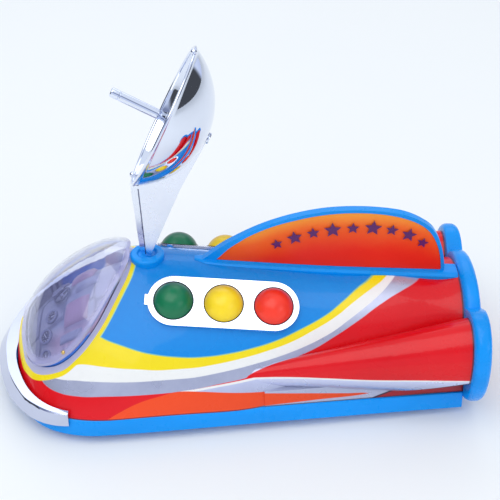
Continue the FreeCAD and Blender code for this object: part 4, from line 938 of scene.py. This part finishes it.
# ---- cockpit ------------------------------------------------------------------------
FLOOR = tree_of("cockpit_panel")
DIAL_DARK = plastic("dial_face_print", (0.07, 0.075, 0.16, 1), 0.3, 0.05, 0.5)
DIAL_PALE = plastic("dial_mark_print", (0.75, 0.76, 0.85, 1), 0.35, 0.05, 0.2)
SEAT = plastic("seat_pad_print", (0.42, 0.26, 0.42, 1), 0.4, 0.2, 0.2)
CONSOLE = plastic("console_grey", (0.30, 0.31, 0.48, 1), 0.35, 0.1, 0.3)
DIAL_TICKS = 10
YOKE_X, YOKE_ARMS = 83.5, 3
PAD_ROWS, PAD_COLUMNS = 16, 12


def bar(name, start, end, across, up, half, low, high, material):
    """Small straight bar between two points; half, low and high are in millimetres."""
    corners = []
    for place in (start, end):
        for h in (low * MM, high * MM):
            for s in (-1, 1):
                corners.append(place + across * (half * MM * s) + up * h)
    faces = [(0, 1, 3, 2), (4, 6, 7, 5), (0, 4, 5, 1), (2, 3, 7, 6), (0, 2, 6, 4), (1, 5, 7, 3)]
    return make(name, corners, faces, material, False)


def dial(x, y, r, index):
    """Raised instrument: ring, dark face, hand and ticks, lying on the floor pan."""
    place, normal = drop(FLOOR, x * MM, y * MM)
    name = "dial_" + index
    ring = [(r * 0.72, 0.3), (r * 0.74, 0.9)] + arc(r * 0.88, 0.9, r * 0.13, 180, 0, 6) + [(r * 1.02, 0.2)]
    disc = [(0.01, 0.05), (r * 0.74, 0.05), (r * 0.74, 0.45), (0.01, 0.5)]
    rim = lathe(name + "_ring", in_metres(ring), place, normal, CONSOLE, 40)
    face = lathe(name + "_face", in_metres(disc), place, normal, DIAL_DARK, 40)
    u, v = basis(normal)
    marks = []
    for k in range(DIAL_TICKS):
        out = around(u, v, 2 * math.pi * k / DIAL_TICKS)
        marks.append(bar(name + "_t%d" % k, place + out * r * 0.45 * MM, place + out * r * 0.66 * MM,
                         normal.cross(out), normal, 0.14, 0.50, 0.60, DIAL_PALE))
    # the hands point different ways
    out = around(u, v, 0.7 + 1.9 * len(index) + x)
    marks.append(bar(name + "_hand", place - out * r * 0.15 * MM, place + out * r * 0.5 * MM,
                     normal.cross(out), normal, 0.18, 0.52, 0.7, DIAL_PALE))
    for piece in (rim, face, join(name + "_marks", marks)):
        finish_piece(piece, "hull", "cockpit_print")


# places (x, |y|) and radii, in millimetres
DIALS = ((88.4, 9.6, 3.7), (90.4, 18.6, 3.9), (89.6, 27.6, 3.2))
for index, (x, y, r) in enumerate(DIALS):
    for word, side in SIDES:
        dial(x, side * y, r, "%d_%s" % (index, word))


def yoke():
    """Steering ring on the middle of the console."""
    place, normal = drop(FLOOR, YOKE_X * MM, 0.0)
    wheel = in_metres(arc(4.6, 1.6, 0.55, 0, 330, 11))
    boss = in_metres([(0.01, 0.1), (1.6, 0.1), (1.5, 0.8), (0.9, 1.2), (0.8, 2.1), (0.01, 2.3)])
    ring = lathe("yoke_ring", wheel, place, normal, DIAL_DARK, 48)
    hub = lathe("yoke_hub", boss, place, normal, CONSOLE, 32, False)
    u, v = basis(normal)
    arms = []
    for k in range(YOKE_ARMS):
        out = around(u, v, 2 * math.pi * k / YOKE_ARMS + 0.5)
        arms.append(bar("yoke_arm_%d" % k, place + out * 0.6 * MM, place + out * 4.5 * MM,
                        normal.cross(out), normal, 0.35, 1.3, 1.9, DIAL_DARK))
    for piece in (ring, hub, join("yoke_arms", arms)):
        finish_piece(piece, "hull", "cockpit_print")


yoke()


def pad(name, x, y, length, width, height, material):
    """Soft-cornered pad whose underside follows the floor pan."""
    verts, faces = [], []
    for level in (0, 1):
        for i in range(PAD_ROWS + 1):
            for j in range(PAD_COLUMNS + 1):
                a, b = 2 * i / PAD_ROWS - 1, 2 * j / PAD_COLUMNS - 1
                px, py = x + a * length / 2, y + b * width / 2
                place, normal = drop(FLOOR, px * MM, py * MM)
                swell = (1 - abs(a) ** 4) ** 0.5 * (1 - abs(b) ** 4) ** 0.5
                groove = 1 - 0.25 * max(0.0, 1 - abs(abs(a) - 0.33) * 14)
                rise = (0.15 + height * swell * groove) if level else -0.2
                verts.append(place + normal * rise * MM)
    row = PAD_COLUMNS + 1
    half = (PAD_ROWS + 1) * row
    for i in range(PAD_ROWS):
        for j in range(PAD_COLUMNS):
            q = (i * row + j, i * row + j + 1, (i + 1) * row + j + 1, (i + 1) * row + j)
            faces.append(tuple(half + k for k in q))
            faces.append(tuple(reversed(q)))
    rim = [(i, 0) for i in range(PAD_ROWS)] + [(PAD_ROWS, j) for j in range(PAD_COLUMNS)]
    rim += [(i, PAD_COLUMNS) for i in range(PAD_ROWS, 0, -1)] + [(0, j) for j in range(PAD_COLUMNS, 0, -1)]
    ids = [i * row + j for i, j in rim]
    for a, b in zip(ids, ids[1:] + ids[:1]):
        faces.append((a, b, half + b, half + a))
    finish_piece(make(name, verts, faces, material), "hull", "cockpit_print")


for word, side in SIDES:
    pad("seat_" + word, 75.0, side * 13.5, 12.0, 12.0, 2.2, SEAT)
    pad("side_console_" + word, 77.0, side * 24.5, 11.0, 3.6, 1.6, CONSOLE)
pad("centre_console", 71.0, 0.0, 12.0, 5.0, 2.2, CONSOLE)


RIVET_R = 1.1
RIVET_PROFILE = in_metres([(0.01, -0.2), (RIVET_R, -0.2)] + arc(0, -0.35, RIVET_R, 20, 89, 6))


def rivet(name, tree, x, y):
    """Low round head on the surface of a frame node."""
    place, normal = drop(tree, x * MM, y * MM)
    finish_piece(lathe(name, RIVET_PROFILE, place, normal, MATS["brass"], 24), "hull", "brass")


SCREEN = tree_of("windscreen")
for word, side in SIDES:
    rivet("screen_rivet_" + word, SCREEN, 78.1, side * 39.9)


# ---- stage, light and camera --------------------------------------------------------
def floor():
    """Pale floor, which isn't part of the object."""
    mesh = bpy.data.meshes.new("studio_floor")
    size = 6.0
    corners = [(-size, -size, 0), (size, -size, 0), (size, size, 0), (-size, size, 0)]
    mesh.from_pydata(corners, [], [(0, 1, 2, 3)])
    g = Graph("pale_floor", roughness=0.9)
    g.set("Base Color", g.mix(g.noise(3.0), (0.84, 0.88, 0.91, 1), (0.86, 0.90, 0.93, 1)))
    g.set("Specular IOR Level", 0.1)
    mesh.materials.append(g.mat)
    obj = link(bpy.data.objects.new("studio_floor", mesh))


# colours of the surround: 0 is level and everything below, 1 is straight up
SURROUND = ((0.0, (0.62, 0.70, 0.92, 1)), (0.10, (0.72, 0.80, 0.98, 1)), (0.34, (0.66, 0.74, 0.92, 1)),
            (0.46, (0.24, 0.28, 0.42, 1)), (0.60, (0.22, 0.26, 0.40, 1)), (0.70, (0.80, 0.87, 1.0, 1)),
            (1.0, (0.86, 0.92, 1.0, 1)))
# its dark ends: their colour, and where they fade in ahead or behind, and downwards
DARK_ENDS, DARK_AHEAD, DARK_DOWN = (0.07, 0.075, 0.085, 1), (0.72, 0.82), (0.48, 0.36)
DIFFUSE_LIGHT = (0.72, 0.73, 0.75, 1)
BACKDROP = (0.94, 0.98, 0.995, 1)


def world():
    """Soft pale studio surround, with a darker band some 30 degrees up for the plating to mirror."""
    scene = bpy.context.scene
    scene.world = bpy.data.worlds.new("studio")
    scene.world.use_nodes = True
    g = Nodes(scene.world.node_tree)
    back = g.tree.nodes["Background"]
    split = g.node("ShaderNodeSeparateXYZ")
    g.put(split.inputs[0], g.node("ShaderNodeTexCoord").outputs["Generated"])
    ahead, _, up = split.outputs
    ramp = g.node("ShaderNodeValToRGB")
    g.put(ramp.inputs[0], up)
    known = ramp.color_ramp.elements
    for index, (place, colour) in enumerate(SURROUND):
        step = known[0] if index == 0 else (known[-1] if index == len(SURROUND) - 1 else known.new(place))
        step.position, step.color = place, colour
    # darker surroundings low down ahead of and behind the toy
    ends = g.remap(g.math("ABSOLUTE", ahead), *DARK_AHEAD, smooth=True)
    low = g.remap(up, *DARK_DOWN, smooth=True)
    mirrored = g.mix(g.both(ends, low), ramp.outputs[0], DARK_ENDS)
    path = g.node("ShaderNodeLightPath")
    lit = g.mix(path.outputs["Is Diffuse Ray"], mirrored, DIFFUSE_LIGHT)
    g.put(back.inputs[0], g.mix(path.outputs["Is Camera Ray"], lit, BACKDROP))
    g.put(back.inputs[1], 1.0)


def lamp(name, place, target, size, power, colour):
    """Area lamp that faces a target."""
    light = bpy.data.lights.new(name, "AREA")
    light.shape = "RECTANGLE"
    light.size, light.size_y = size
    light.energy = power
    light.color = colour
    obj = link(bpy.data.objects.new(name, light))
    obj.location = place
    obj.rotation_mode = "QUATERNION"
    obj.rotation_quaternion = (Vector(target) - Vector(place)).to_track_quat("-Z", "Y")


def camera():
    """The photograph's view."""
    data = bpy.data.cameras.new("camera")
    data.sensor_width = 36.0
    data.lens = 64.58
    data.shift_x = -0.0218
    data.shift_y = 0.0276
    data.clip_start, data.clip_end = 0.01, 20.0
    obj = link(bpy.data.objects.new("camera", data))
    eye = Vector((-0.010167, 0.355855, 0.317842))
    aim = Vector((-0.014887, 0.0, 0.059181))
    obj.location = eye
    obj.rotation_mode = "QUATERNION"
    obj.rotation_quaternion = (aim - eye).to_track_quat("-Z", "Y")
    bpy.context.scene.camera = obj


floor()
world()
lamp("key", (0.30, 0.45, 1.3), (0, 0, 0.04), (1.3, 1.3), 7.9, (1.0, 0.99, 0.97))
lamp("fill", (-0.9, 0.8, 0.6), (0, 0, 0.05), (0.7, 0.5), 1.4, (0.93, 0.96, 1.0))
lamp("back", (0.0, -1.1, 1.0), (0, 0, 0.05), (1.2, 0.6), 2.5, (0.95, 0.97, 1.0))
camera()
bpy.context.scene.view_settings.view_transform = "Standard"
